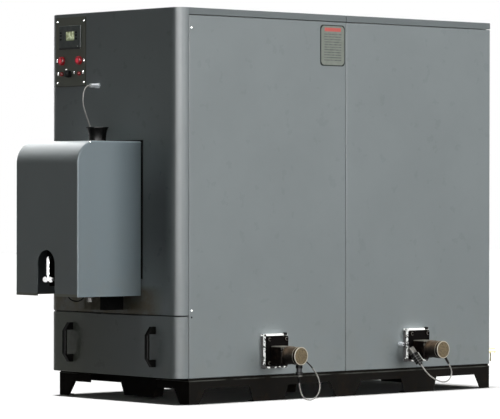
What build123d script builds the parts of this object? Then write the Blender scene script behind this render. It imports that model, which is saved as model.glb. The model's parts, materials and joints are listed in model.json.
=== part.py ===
from build123d import *

import math
import os

# Pellet boiler in a sheet-steel casing of two modules, on black folded-steel base frames.
# Millimetres. +X is to the right seen from the front, the front faces -Y, +Z is up.
# The origin is on the floor, in the middle of the joint between the two modules.

# Base frames
base_height = 122
base_rail_depth = 45
base_sheet = 5
base_flange = 40
base_end_setback = 2.5
end_foot_top = 112
end_foot_bottom = 66
mid_foot_top = 266
mid_foot_bottom = 216
end_return = 262
return_foot_top = 115
return_foot_bottom = 72
cross_beam_inset = 152
cross_beam_width = 60
cross_beam_foot_top = 280
cross_beam_foot_bottom = 240
cross_beam_foot_shift = -18
cross_beam_foot_rise = 13
floor_thickness = 11
floor_inset = 8

# Casing
casing_width = 1057
casing_top = 2000
module_length = 1080
front_depth = 72
corner_radius = 65
panel_thickness = 30
edge_chamfer = 2.5
front_seam = 5
module_seam = 4
roof_height = 34
roof_seam = 4

# Ash drawer and its pocket
drawer_seam_height = 447
drawer_gap = 5
pocket_width = 880
pocket_depth = 440
pocket_wall = 30
ash_box_length = 400
ash_box_side_gap = 12
ash_box_top_gap = 40
ash_box_sheet = 4
runner_width = 30
runner_height = 12
runner_inset = 60
running_gap = 0.3

# Drawer handles
handle_spacing = 676
handle_shift = 6
handle_height = 205
handle_width = 27
handle_reach = 54
handle_bar = 15
handle_leg = 38
handle_foot_depth = 23
handle_face_height = 120
handle_chamfer = 3

# Control plate
plate_width = 252
plate_height = 363
plate_side_gap = 63.5
plate_top_gap = 18
plate_thickness = 2
plate_radius = 6
display_width = 182
display_height = 123
display_depth = 5
display_drop = 44
display_shift = -5
display_radius = 5
display_chamfer = 1.5
screen_width = 74
screen_height = 52
screen_shift = 2
screen_rise = 9.5
screen_recess = 2
screen_thickness = 1.5
lamp_diameter = 45
lamp_pitch = 145
lamp_drop = 227
lamp_depth = 16
cap_diameter = 22
cap_pitch = 148
cap_drop = 295
cap_depth = 12
lamp_chamfer = 4
knob_diameter = 38
knob_skirt = 9
knob_grip = 20
knob_grip_length = 35
knob_grip_width = 12
knob_drop = 296
knob_shift = -10
knob_gap = 0.3

# Burner and its cover
cover_width = 509
cover_centre_x = -8
cover_depth = 416
cover_bottom = 545
cover_top = 1328
cover_radius = 110
cover_edge = 8
cover_sheet = 4
slot_width = 143
slot_height = 233
slot_shift = -2
burner_plate_thickness = 8
burner_plate_rim = 4.5
burner_plate_top_rim = 6
burner_plate_rise = 85
burner_width = 330
burner_depth = 270
burner_rise = 45
burner_headroom = 148
burner_corner = 18
burner_hatch_inset = 45
burner_hatch_thickness = 10
fan_diameter = 190
fan_width = 62
fan_rise = 160
fan_inlet_diameter = 110
fan_inlet_depth = 30
throat_width = 182
throat_depth = 110
throat_drop = 76
throat_shift = 13
clamp_shift = -5
clamp_rise = 83
clamp_setback = 17
clamp_stud = 12
clamp_hub = 20
clamp_hub_length = 20
clamp_wing_span = 81
clamp_wing_thickness = 8
clamp_wing_height = 28
clamp_wing_notch = 9
clamp_lever_neck = 10
clamp_lever_start = 21
clamp_lever_diameter = 20
clamp_lever_height = 111
clamp_lever_bend = 14
clamp_lever_radius = 11

# Pellet funnel and its drop tube
funnel_setout = 88
funnel_height = 75
funnel_rim_diameter = 116
funnel_foot_diameter = 88
funnel_waist_diameter = 93
funnel_rim_bead = 3
funnel_wall = 4
drop_tube_diameter = 70
drop_tube_clearance = 3

# Fittings under the burner
union_shift = 12
union_setout = 140
union_diameter = 20
union_nut = 34
union_nut_height = 20
union_drop = 80
probe_shift = -52
probe_front_setout = 230
probe_rear_setout = 120
probe_nut = 18
probe_neck = 14
probe_drop = 36
probe_lead_diameter = 6

# Temperature sensor on the front
sensor_x = -109
sensor_height = 1619
sensor_nut = 28
sensor_nut_length = 18
sensor_neck = 20
sensor_length = 55
sensor_cable_diameter = 7
sensor_cable_setout = 53

# Gearmotors on the right side
front_unit_y = -519
rear_unit_y = 500
unit_height = 256
bracket_width = 152
bracket_height = 176
bracket_sheet = 4
bracket_reach = 35
bracket_lip = 16
bracket_window_depth = 14
bracket_window_post = 14
flange_width = 150
flange_height = 157
flange_thickness = 8
flange_radius = 12
flange_boss = 24
flange_boss_inset = 17
flange_boss_height = 6
gear_case_width = 96
gear_case_height = 92
gear_case_depth = 84
gear_case_radius = 9
gear_case_chamfer = 3
motor_drop = 19
motor_diameter = 88
motor_length = 97.5
motor_ring = 92
motor_ring_width = 8
motor_bell = 92
motor_bell_width = 46
motor_groove = 4
motor_groove_setback = 10
motor_groove_depth = 2
motor_cap_rim = 4
motor_cap_recess = 2
cable_diameter = 7
sleeve_root_diameter = 15
sleeve_tip_diameter = 12
sleeve_root_depth = 5

# Plug and cable of the front gearmotor
front_cable_angle = -32
front_cable_setback = 16
front_sleeve_length = 8
plug_collar = 30
plug_collar_length = 7
plug_diameter = 28
plug_body_length = 30
plug_groove = 2
plug_ring = 36
plug_ring_length = 9
plug_foot_length = 6
plug_neck = 19
plug_neck_length = 7

# In-line plug, panel gland and cable of the rear gearmotor
rear_cable_angle = -53
rear_cable_setback = 18
rear_sleeve_length = 49
panel_gland_setout = 106
panel_gland_rise = 6
panel_gland_nut = 26
panel_gland_nut_length = 12
panel_gland_neck = 20
panel_gland_reach = 27.5
panel_lead_diameter = 6
panel_lead_start = 18
inline_offset = (44, 9, -20)
inline_direction = (0.51, 0.274, -0.816)
inline_socket_width = 36
inline_socket_depth = 28
inline_socket_length = 34
inline_waist_diameter = 24
inline_waist_length = 4
inline_body_width = 38
inline_body_depth = 30
inline_body_radius = 6
inline_body_length = 56
inline_tail_diameter = 19
inline_tail_length = 13

# Rear connections
flue_diameter = 250
flue_height = 1560
flue_length = 110
flue_wall = 3
flue_collar = 300
flue_collar_thickness = 5
pipe_diameter = 89
pipe_bore = 80
pipe_flange_diameter = 200
pipe_flange_thickness = 20
pipe_flange_pitch_circle = 160
pipe_flange_hole = 18
pipe_flange_holes = 8
pipe_length = 90
pipe_x = -270
flow_height = 1720
return_height = 520
drain_x = 468
drain_height = 200
drain_nut = 34
drain_nut_length = 14
drain_body = 28
drain_length = 100
drain_tail = 22
drain_tail_drop = 58
drain_tail_setback = 18
drain_tail_ring = 26
drain_tail_ring_height = 14

# Service plate
service_width = 174
service_height = 215
service_joint_gap = 11
service_top_gap = 16
service_radius = 20
service_thickness = 2

# Worked-out sizes and places
half_width = casing_width / 2
body_half = half_width - panel_thickness
base_rail_bottom = base_height - base_rail_depth
base_module_length = module_length - base_end_setback
casing_bottom = base_height + floor_thickness
front_face = -module_length - front_depth
front_back = -module_length - front_seam / 2
panel_front = -module_length + front_seam / 2
rear_face = module_length
roof_bottom = casing_top - roof_height
panel_top = roof_bottom - roof_seam
front_panel_bottom = drawer_seam_height + drawer_gap / 2
drawer_top = drawer_seam_height - drawer_gap / 2
pocket_floor = casing_bottom + pocket_wall
pocket_roof = drawer_top - pocket_wall
pocket_back = panel_front + pocket_depth
plate_x = -half_width + plate_side_gap + plate_width / 2
plate_top = casing_top - plate_top_gap
plate_face = front_face - plate_thickness
burner_face = front_face - burner_plate_thickness
burner_front = burner_face - burner_depth
burner_bottom = cover_bottom + burner_rise
burner_top = cover_top - burner_headroom
cover_front = front_face - cover_depth
funnel_y = front_face - funnel_setout
motor_height = unit_height - motor_drop
bracket_face = half_width + bracket_reach
gear_case_start = bracket_face + flange_thickness
motor_start = gear_case_start + gear_case_depth
motor_end = motor_start + motor_length


def save(part, name):
    """Label a finished piece and write it as its own file."""
    part.label = name
    export_step(part, f"parts/{name}.step")


def block(low, high):
    """A plain box between its lowest and its highest corner."""
    with BuildPart() as piece:
        with Locations(tuple((a + b) / 2 for a, b in zip(low, high))):
            Box(*(b - a for a, b in zip(low, high)))
    return piece.part


def sheet_panel(low, high, outward):
    """A casing panel, chamfered round the face that looks along outward."""
    with BuildPart() as piece:
        with Locations(tuple((a + b) / 2 for a, b in zip(low, high))):
            Box(*(b - a for a, b in zip(low, high)))
        chamfer(piece.faces().sort_by(Axis((0, 0, 0), outward))[-1].edges(), edge_chamfer)
    return piece.part


def front_slab(bottom, top):
    """A full-width front piece whose two front corners are rounded."""
    depth = front_back - front_face
    with BuildPart() as piece:
        with BuildSketch(Plane.XY.offset(bottom)) as outline:
            with Locations((0, front_face + depth / 2)):
                Rectangle(casing_width, depth)
            fillet(outline.vertices().group_by(Axis.Y)[0], corner_radius)
        extrude(amount=top - bottom)
        chamfer(piece.faces().sort_by(Axis.Z)[-1].edges(), edge_chamfer)
        chamfer(piece.faces().sort_by(Axis.Z)[0].edges(), edge_chamfer)
    return piece.part


def base_corner_frame(side, end):
    """A quarter of the base: a folded side rail with three feet, and its short end return.

    side is 1 on the right and -1 on the left, end is 1 at the rear and -1 at the front.
    """
    outer_x = side * half_width
    end_y = end * base_module_length
    middle = base_module_length / 2
    side_outline = [
        (0, 0), (end_foot_bottom, 0), (end_foot_top, base_rail_bottom),
        (middle - mid_foot_top / 2, base_rail_bottom), (middle - mid_foot_bottom / 2, 0),
        (middle + mid_foot_bottom / 2, 0), (middle + mid_foot_top / 2, base_rail_bottom),
        (base_module_length - end_foot_top, base_rail_bottom),
        (base_module_length - end_foot_bottom, 0), (base_module_length, 0),
        (base_module_length, base_height), (0, base_height),
    ]
    return_outline = [
        (0, 0), (return_foot_bottom, 0), (return_foot_top, base_rail_bottom),
        (end_return, base_rail_bottom), (end_return, base_height), (0, base_height),
    ]
    flange_x = outer_x - side * base_flange / 2
    flange_z = base_height - base_sheet / 2
    with BuildPart() as frame:
        with BuildSketch(Plane.YZ.offset(outer_x)):
            with BuildLine():
                Polyline(*[(end_y - end * u, v) for u, v in side_outline], close=True)
            make_face()
        extrude(amount=-side * base_sheet)
        with BuildSketch(Plane.XZ.offset(-end_y)):
            with BuildLine():
                Polyline(*[(outer_x - side * u, v) for u, v in return_outline], close=True)
            make_face()
        extrude(amount=end * base_sheet)
        with Locations((flange_x, end_y - end * middle, flange_z)):
            Box(base_flange, base_module_length, base_sheet)
        with Locations((outer_x - side * end_return / 2, end_y - end * base_flange / 2, flange_z)):
            Box(end_return, base_flange, base_sheet)
        end_foot_y = end_y - end * end_foot_bottom / 2
        joint_foot_y = end * end_foot_bottom / 2
        with Locations((flange_x, end_foot_y, base_sheet / 2), (flange_x, joint_foot_y, base_sheet / 2)):
            Box(base_flange, end_foot_bottom, base_sheet)
        with Locations((flange_x, end_y - end * middle, base_sheet / 2)):
            Box(base_flange, mid_foot_bottom, base_sheet)
    return frame.part


def cord(points, diameter, name):
    """A plain tube along straight runs joined by tangent arcs, each as large as its runs allow."""
    places = [Vector(*point) for point in points]
    runs = [b - a for a, b in zip(places, places[1:])]
    radii = []
    for before, after in zip(runs, runs[1:]):
        half_turn = math.radians(before.get_angle(after)) / 2
        radii.append(0.45 * min(before.length, after.length) / math.tan(half_turn))
    with BuildPart() as tube:
        with BuildLine() as path:
            FilletPolyline(*places, radius=radii)
        with BuildSketch(Plane(path.line @ 0, z_dir=path.line % 0)):
            Circle(diameter / 2)
        sweep()
    length = sum(edge.length for edge in path.line.edges())
    section = math.pi * diameter**2 / 4
    print(f"{name}: length {length:.0f}, volume {tube.part.volume:.0f} for {section * length:.0f},")
    print(f"    radii {[round(radius) for radius in radii]}")
    save(tube.part, name)


def beside_motor(unit_y, angle, radius, x):
    """A point at x, at an angle and a radius round a motor's axis."""
    turn = math.radians(angle)
    return (x, unit_y + radius * math.cos(turn), motor_height + radius * math.sin(turn))


def gear_unit(name, unit_y, cable_angle, cable_x, sleeve_length):
    """One gearmotor: folded bracket with a window in each side, flanged gear case, motor with sleeve."""
    window_x = half_width + bracket_sheet + bracket_window_depth / 2
    with BuildPart() as bracket:
        with BuildSketch(Plane.YZ.offset(half_width)):
            with Locations((unit_y, unit_height)):
                Rectangle(bracket_width, bracket_height)
                Rectangle(bracket_width - 2 * bracket_sheet, bracket_height - 2 * bracket_sheet,
                          mode=Mode.SUBTRACT)
        extrude(amount=bracket_reach)
        for lip_x, amount in ((half_width, bracket_sheet), (bracket_face, -bracket_sheet)):
            with BuildSketch(Plane.YZ.offset(lip_x)):
                with Locations((unit_y, unit_height)):
                    Rectangle(bracket_width, bracket_height)
                    Rectangle(bracket_width - 2 * bracket_lip, bracket_height - 2 * bracket_lip,
                              mode=Mode.SUBTRACT)
            extrude(amount=amount)
        with Locations((window_x, unit_y, unit_height)):
            Box(bracket_window_depth, bracket_width, bracket_height - 2 * bracket_window_post,
                mode=Mode.SUBTRACT)
    save(bracket.part, f"auger_bracket_{name}")

    boss_y = flange_width - 2 * flange_boss_inset
    boss_z = flange_height - 2 * flange_boss_inset
    with BuildPart() as gearbox:
        with BuildSketch(Plane.YZ.offset(bracket_face)):
            with Locations((unit_y, unit_height)):
                RectangleRounded(flange_width, flange_height, flange_radius)
        extrude(amount=flange_thickness)
        with BuildSketch(Plane.YZ.offset(gear_case_start)):
            with Locations((unit_y, unit_height)):
                with GridLocations(boss_y, boss_z, 2, 2):
                    Circle(flange_boss / 2)
        extrude(amount=flange_boss_height)
        with BuildSketch(Plane.YZ.offset(gear_case_start)):
            with Locations((unit_y, motor_height)):
                RectangleRounded(gear_case_width, gear_case_height, gear_case_radius)
        extrude(amount=gear_case_depth)
        chamfer(gearbox.faces().sort_by(Axis.X)[-1].edges(), gear_case_chamfer)
    save(gearbox.part, f"gearbox_{name}")

    bell_start = motor_length - motor_bell_width
    groove_end = motor_length - motor_groove_setback
    groove_start = groove_end - motor_groove
    bell_radius = motor_bell / 2
    profile = [
        (0, 0), (0, motor_ring / 2), (motor_ring_width, motor_ring / 2),
        (motor_ring_width, motor_diameter / 2), (bell_start, motor_diameter / 2),
        (bell_start, bell_radius), (groove_start, bell_radius),
        (groove_start, bell_radius - motor_groove_depth), (groove_end, bell_radius - motor_groove_depth),
        (groove_end, bell_radius), (motor_length - motor_cap_recess, bell_radius),
        (motor_length, bell_radius - motor_cap_recess), (motor_length, bell_radius - motor_cap_rim),
        (motor_length - motor_cap_recess, bell_radius - motor_cap_rim),
        (motor_length - motor_cap_recess, 0),
    ]
    axis_start = (motor_start, unit_y, motor_height)
    root = Vector(*beside_motor(unit_y, cable_angle, motor_diameter / 2 - sleeve_root_depth, cable_x))
    tip = Vector(*beside_motor(unit_y, cable_angle, bell_radius + sleeve_length, cable_x))
    with BuildPart() as motor:
        with BuildSketch(Plane(axis_start, x_dir=(1, 0, 0), z_dir=(0, -1, 0))):
            with BuildLine():
                Polyline(*profile, close=True)
            make_face()
        revolve(axis=Axis(axis_start, (1, 0, 0)))
        with BuildSketch(Plane(root, z_dir=tip - root)):
            Circle(sleeve_root_diameter / 2)
        with BuildSketch(Plane(tip, z_dir=tip - root)):
            Circle(sleeve_tip_diameter / 2)
        loft()
    save(motor.part, f"motor_{name}")


os.makedirs("parts", exist_ok=True)

# Base
for side, side_name in ((1, "right"), (-1, "left")):
    for end, end_name in ((-1, "front"), (1, "rear")):
        save(base_corner_frame(side, end), f"base_frame_{side_name}_{end_name}")

beam_half = half_width - base_flange
beam_y = base_module_length - cross_beam_inset
foot_left = cross_beam_foot_shift - cross_beam_foot_bottom / 2
foot_right = cross_beam_foot_shift + cross_beam_foot_bottom / 2
foot_slope = (cross_beam_foot_top - cross_beam_foot_bottom) / 2
with BuildPart() as cross_beams:
    for y, foot_z in ((-beam_y, cross_beam_foot_rise), (0, 0), (beam_y, cross_beam_foot_rise)):
        with BuildSketch(Plane.XZ.offset(-y - cross_beam_width / 2)):
            with BuildLine():
                Polyline(
                    (-beam_half, base_height), (-beam_half, base_rail_bottom),
                    (foot_left - foot_slope, base_rail_bottom), (foot_left, foot_z),
                    (foot_right, foot_z), (foot_right + foot_slope, base_rail_bottom),
                    (beam_half, base_rail_bottom), (beam_half, base_height), close=True,
                )
            make_face()
        extrude(amount=cross_beam_width)
save(cross_beams.part, "base_cross_beams")

floor_x = half_width - floor_inset
floor_low = (-floor_x, -base_module_length, base_height)
save(block(floor_low, (floor_x, base_module_length, casing_bottom)), "casing_floor")

# Boiler body behind the panels, stepped over the ash pocket
with BuildPart() as boiler_body:
    with BuildSketch(Plane.YZ.offset(-body_half)):
        with BuildLine():
            Polyline(
                (front_back, drawer_top), (pocket_back, drawer_top), (pocket_back, casing_bottom),
                (rear_face - panel_thickness, casing_bottom), (rear_face - panel_thickness, roof_bottom),
                (front_back, roof_bottom), close=True,
            )
        make_face()
    extrude(amount=2 * body_half)
save(boiler_body.part, "boiler_body")

with BuildPart() as ash_pocket:
    with BuildSketch(Plane.XZ.offset(-panel_front)):
        with Locations((0, (casing_bottom + drawer_top) / 2)):
            Rectangle(2 * body_half, drawer_top - casing_bottom)
        with Locations((0, (pocket_floor + pocket_roof) / 2)):
            Rectangle(pocket_width, pocket_roof - pocket_floor, mode=Mode.SUBTRACT)
    extrude(amount=-pocket_depth)
save(ash_pocket.part, "ash_pocket")

# Outer panels
save(front_slab(front_panel_bottom, casing_top), "front_panel")

for side, side_name in ((1, "right"), (-1, "left")):
    inner, outer = sorted((side * body_half, side * half_width))
    for front, rear, end_name in (
        (panel_front, -module_seam / 2, "front"),
        (module_seam / 2, rear_face, "rear"),
    ):
        panel = sheet_panel((inner, front, casing_bottom), (outer, rear, panel_top), (side, 0, 0))
        save(panel, f"side_panel_{side_name}_{end_name}")

rear_low = (-body_half, rear_face - panel_thickness, casing_bottom)
save(sheet_panel(rear_low, (body_half, rear_face, roof_bottom), (0, 1, 0)), "rear_panel")

for front, rear, end_name in (
    (front_back, -module_seam / 2, "front"),
    (module_seam / 2, rear_face, "rear"),
):
    tray = sheet_panel((-half_width, front, roof_bottom), (half_width, rear, casing_top), (0, 0, 1))
    save(tray, f"roof_{end_name}")

# Ash drawer
save(front_slab(casing_bottom, drawer_top), "ash_drawer_front")

handle_z = (casing_bottom + drawer_top) / 2
handle_half = handle_height / 2
grip_half = handle_half - handle_leg
grip_depth = handle_reach - handle_bar
handle_outline = [
    (0, handle_half), (handle_foot_depth, handle_half), (handle_reach, handle_face_height / 2),
    (handle_reach, -handle_face_height / 2), (handle_foot_depth, -handle_half), (0, -handle_half),
    (0, -grip_half), (grip_depth, -grip_half), (grip_depth, grip_half), (0, grip_half),
]
with BuildPart() as drawer_handles:
    for x in (handle_shift - handle_spacing / 2, handle_shift + handle_spacing / 2):
        with BuildSketch(Plane.YZ.offset(x - handle_width / 2)):
            with BuildLine():
                Polyline(*[(front_face - u, handle_z + v) for u, v in handle_outline], close=True)
            make_face()
        extrude(amount=handle_width)
    rims = drawer_handles.faces().filter_by(Axis.X).edges()
    chamfer(rims.filter_by(lambda edge: edge.center().Y < front_face - 1), handle_chamfer)
save(drawer_handles.part, "drawer_handles")

ash_width = pocket_width - 2 * ash_box_side_gap
ash_bottom = pocket_floor + runner_height + running_gap
ash_top = pocket_roof - ash_box_top_gap
with BuildPart() as ash_box:
    with BuildSketch(Plane.XY.offset(ash_bottom)):
        with Locations((0, front_back + ash_box_length / 2)):
            Rectangle(ash_width, ash_box_length)
    extrude(amount=ash_top - ash_bottom)
    offset(amount=-ash_box_sheet, openings=ash_box.faces().sort_by(Axis.Z)[-1])
save(ash_box.part, "ash_box")

runner_x = pocket_width / 2 - runner_inset
runner_place = ((panel_front + pocket_back) / 2, pocket_floor + runner_height / 2)
with BuildPart() as drawer_runners:
    with Locations((-runner_x, *runner_place), (runner_x, *runner_place)):
        Box(runner_width, pocket_depth, runner_height)
save(drawer_runners.part, "drawer_runners")

# Control plate with its display, lamps and selector
with BuildPart() as control_plate:
    with BuildSketch(Plane.XZ.offset(-front_face)):
        with Locations((plate_x, plate_top - plate_height / 2)):
            RectangleRounded(plate_width, plate_height, plate_radius)
    extrude(amount=plate_thickness)
save(control_plate.part, "control_plate")

display_x = plate_x + display_shift
display_z = plate_top - display_drop - display_height / 2
screen_place = (display_x + screen_shift, display_z + screen_rise)
with BuildPart() as display_unit:
    with BuildSketch(Plane.XZ.offset(-plate_face)):
        with Locations((display_x, display_z)):
            RectangleRounded(display_width, display_height, display_radius)
    extrude(amount=display_depth)
    chamfer(display_unit.faces().sort_by(Axis.Y)[0].edges(), display_chamfer)
    with BuildSketch(Plane.XZ.offset(-plate_face + display_depth)):
        with Locations(screen_place):
            Rectangle(screen_width, screen_height)
    extrude(amount=-screen_recess, mode=Mode.SUBTRACT)
save(display_unit.part, "display_unit")

with BuildPart() as display_screen:
    with BuildSketch(Plane.XZ.offset(-plate_face + display_depth - screen_recess)):
        with Locations(screen_place):
            Rectangle(screen_width, screen_height)
    extrude(amount=screen_thickness)
save(display_screen.part, "display_screen")

with BuildPart() as indicator_lamps:
    for pitch, drop, diameter, depth in (
        (lamp_pitch, lamp_drop, lamp_diameter, lamp_depth),
        (cap_pitch, cap_drop, cap_diameter, cap_depth),
    ):
        with BuildSketch(Plane.XZ.offset(-plate_face)):
            with Locations((plate_x, plate_top - drop)):
                with GridLocations(pitch, 0, 2, 1):
                    Circle(diameter / 2)
        extrude(amount=depth)
        lamp_fronts = indicator_lamps.faces().filter_by(Axis.Y).filter_by_position(
            Axis.Y, plate_face - depth - 1, plate_face - depth + 1
        )
        chamfer(lamp_fronts.edges(), lamp_chamfer)
save(indicator_lamps.part, "indicator_lamps")

knob_place = (plate_x + knob_shift, plate_top - knob_drop)
with BuildPart() as selector_knob:
    with BuildSketch(Plane.XZ.offset(-plate_face + knob_gap)):
        with Locations(knob_place):
            Circle(knob_diameter / 2)
    extrude(amount=knob_skirt)
    with BuildSketch(Plane.XZ.offset(-plate_face + knob_gap + knob_skirt)):
        with Locations(knob_place):
            SlotOverall(knob_grip_length, knob_grip_width, rotation=90)
    extrude(amount=knob_grip)
save(selector_knob.part, "selector_knob")

# Burner with its fan, mounting plate and ash throat
plate_half = cover_width / 2 + burner_plate_rim
plate_low = (cover_centre_x - plate_half, burner_face, cover_bottom + burner_plate_rise)
plate_high = (cover_centre_x + plate_half, front_face, cover_top + burner_plate_top_rim)
save(block(plate_low, plate_high), "burner_plate")

hatch_width = burner_width - 2 * burner_hatch_inset
hatch_height = burner_top - burner_bottom - 2 * burner_hatch_inset
burner_left = cover_centre_x - burner_width / 2
fan_place = ((burner_face + burner_front) / 2, burner_bottom + fan_rise)
with BuildPart() as burner_body:
    with BuildSketch(Plane.XY.offset(burner_bottom)) as burner_outline:
        with Locations((cover_centre_x, (burner_face + burner_front) / 2)):
            Rectangle(burner_width, burner_depth)
        fillet(burner_outline.vertices().group_by(Axis.Y)[0], burner_corner)
    extrude(amount=burner_top - burner_bottom)
    with BuildSketch(Plane.XZ.offset(-burner_front)):
        with Locations((cover_centre_x, (burner_bottom + burner_top) / 2)):
            RectangleRounded(hatch_width, hatch_height, burner_corner)
    extrude(amount=burner_hatch_thickness)
    with BuildSketch(Plane.YZ.offset(burner_left)):
        with Locations(fan_place):
            Circle(fan_diameter / 2)
    extrude(amount=-fan_width)
    with BuildSketch(Plane.YZ.offset(burner_left - fan_width)):
        with Locations(fan_place):
            Circle(fan_inlet_diameter / 2)
    extrude(amount=fan_inlet_depth, mode=Mode.SUBTRACT)
save(burner_body.part, "burner_body")

throat_x = cover_centre_x + throat_shift
throat_low = (throat_x - throat_width / 2, front_face - throat_depth, cover_bottom - throat_drop)
throat_high = (throat_x + throat_width / 2, front_face, burner_bottom)
save(block(throat_low, throat_high), "ash_throat")

# Burner cover, a bent sheet shell that is open below and behind
shell_depth = cover_depth - burner_plate_thickness
slot_x = cover_centre_x + slot_shift
arch_radius = slot_width / 2
arch_z = cover_bottom + slot_height - arch_radius
with BuildPart() as burner_cover:
    with BuildSketch(Plane.YZ.offset(cover_centre_x - cover_width / 2)) as side_outline:
        with Locations((burner_face - shell_depth / 2, (cover_bottom + cover_top) / 2)):
            Rectangle(shell_depth, cover_top - cover_bottom)
        fillet(side_outline.vertices().group_by(Axis.X)[0].sort_by(Axis.Y)[-1], cover_radius)
    extrude(amount=cover_width)
    side_edges = burner_cover.faces().filter_by(Axis.X).edges()
    bent_edges = side_edges.filter_by(
        lambda edge: edge.center().Y < burner_face - 1 and edge.center().Z > cover_bottom + 1
    )
    fillet(bent_edges, cover_edge)
    open_faces = [burner_cover.faces().sort_by(Axis.Y)[-1], burner_cover.faces().sort_by(Axis.Z)[0]]
    offset(amount=-cover_sheet, openings=open_faces)
    with BuildSketch(Plane.XZ.offset(-cover_front)):
        with Locations((slot_x, arch_z)):
            Circle(arch_radius)
        with Locations((slot_x, (arch_z + cover_bottom) / 2)):
            Rectangle(slot_width, arch_z - cover_bottom)
    extrude(amount=-2 * cover_sheet, mode=Mode.SUBTRACT)
    with BuildSketch(Plane.XY.offset(cover_top)):
        with Locations((cover_centre_x, funnel_y)):
            Circle(drop_tube_diameter / 2 + drop_tube_clearance)
    extrude(amount=-2 * cover_sheet, mode=Mode.SUBTRACT)
save(burner_cover.part, "burner_cover")

# Clamp that holds the cover: stud, hub with two wings, and an upright lever with a bent tip
clamp_x = cover_centre_x + clamp_shift
clamp_y = cover_front + clamp_setback
clamp_z = cover_bottom + clamp_rise
lever_start = clamp_z + clamp_lever_start
lever_top = clamp_z + clamp_lever_height
wing_half = clamp_wing_span / 2
wing_rise = clamp_wing_height / 2
right_wing = [
    (0, wing_rise / 2), (wing_half / 2, wing_rise), (wing_half, 0.7 * wing_rise),
    (wing_half - clamp_wing_notch, 0), (wing_half, -0.7 * wing_rise),
    (wing_half / 2, -wing_rise), (0, -wing_rise / 2),
]
with BuildPart() as cover_clamp:
    with BuildSketch(Plane.XZ.offset(-burner_front)):
        with Locations((clamp_x, clamp_z)):
            Circle(clamp_stud / 2)
    extrude(amount=burner_front - clamp_y)
    with BuildSketch(Plane.XZ.offset(-clamp_y - clamp_hub_length / 2)):
        with Locations((clamp_x, clamp_z)):
            Circle(clamp_hub / 2)
    extrude(amount=clamp_hub_length)
    with BuildSketch(Plane.XZ.offset(-clamp_y - clamp_wing_thickness / 2)):
        with Locations((clamp_x - wing_half / 2, clamp_z)):
            Ellipse(wing_half / 2, wing_rise)
        with BuildLine():
            Polyline(*[(clamp_x + u, clamp_z + v) for u, v in right_wing], close=True)
        make_face()
    extrude(amount=clamp_wing_thickness)
    with BuildSketch(Plane.XY.offset(clamp_z)):
        with Locations((clamp_x, clamp_y)):
            Circle(clamp_lever_neck / 2)
    extrude(amount=clamp_lever_start)
    with BuildLine() as lever_path:
        FilletPolyline(
            (clamp_x, clamp_y, lever_start), (clamp_x, clamp_y, lever_top),
            (clamp_x + clamp_lever_bend, clamp_y, lever_top), radius=clamp_lever_radius,
        )
    with BuildSketch(Plane.XY.offset(lever_start)):
        with Locations((clamp_x, clamp_y)):
            Circle(clamp_lever_diameter / 2)
    sweep(path=lever_path.line)
save(cover_clamp.part, "cover_clamp")

# Pellet funnel with its drop tube down to the burner
foot_radius = funnel_foot_diameter / 2
rim_radius = funnel_rim_diameter / 2
tube_radius = drop_tube_diameter / 2
rim_z = cover_top + funnel_height
bell_top = (cover_centre_x + rim_radius - funnel_rim_bead, rim_z - 2 * funnel_rim_bead)
bell_waist = (cover_centre_x + funnel_waist_diameter / 2, cover_top + funnel_height / 2)
bell_foot = (cover_centre_x + foot_radius, cover_top)
funnel_outline = [
    (rim_radius, rim_z - funnel_rim_bead), (rim_radius, rim_z),
    (rim_radius - funnel_rim_bead - funnel_wall, rim_z),
    (tube_radius - funnel_wall, cover_top + funnel_wall), (tube_radius - funnel_wall, burner_top),
    (tube_radius, burner_top), (tube_radius, cover_top),
]
with BuildPart() as pellet_funnel:
    with BuildSketch(Plane.XZ.offset(-funnel_y)):
        with BuildLine():
            funnel_points = [(cover_centre_x + radius, z) for radius, z in funnel_outline]
            Polyline(bell_top, *funnel_points, bell_foot)
            ThreePointArc(bell_foot, bell_waist, bell_top)
        make_face()
    revolve(axis=Axis((cover_centre_x, funnel_y, 0), (0, 0, 1)))
save(pellet_funnel.part, "pellet_funnel")

# Pipe union and probe glands under the burner, with the probe's short lead
union_place = (cover_centre_x + union_shift, burner_face - union_setout)
with BuildPart() as burner_union:
    with BuildSketch(Plane.XY.offset(burner_bottom)):
        with Locations(union_place):
            Circle(union_diameter / 2)
    extrude(amount=-union_drop)
    with BuildSketch(Plane.XY.offset(burner_bottom - union_drop)):
        with Locations(union_place):
            RegularPolygon(union_nut / 2, 6)
    extrude(amount=union_nut_height)
save(burner_union.part, "burner_union")

probe_x = cover_centre_x + probe_shift
probe_front_y = burner_face - probe_front_setout
probe_rear_y = burner_face - probe_rear_setout
probe_tip = burner_bottom - probe_drop
with BuildPart() as probe_glands:
    for y in (probe_front_y, probe_rear_y):
        with BuildSketch(Plane.XY.offset(burner_bottom)):
            with Locations((probe_x, y)):
                RegularPolygon(probe_nut / 2, 6)
        extrude(amount=-probe_drop / 2)
        with BuildSketch(Plane.XY.offset(burner_bottom)):
            with Locations((probe_x, y)):
                Circle(probe_neck / 2)
        extrude(amount=-probe_drop)
save(probe_glands.part, "probe_glands")

probe_route = [
    (probe_x, probe_front_y, probe_tip), (probe_x, probe_front_y, probe_tip - 14),
    (probe_x, probe_front_y + 15, probe_tip - 31), (probe_x, probe_front_y + 38, probe_tip - 41),
    (probe_x, probe_rear_y - 38, probe_tip - 43), (probe_x, probe_rear_y - 15, probe_tip - 33),
    (probe_x, probe_rear_y, probe_tip - 14), (probe_x, probe_rear_y, probe_tip),
]
cord(probe_route, probe_lead_diameter, "probe_lead")

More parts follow.
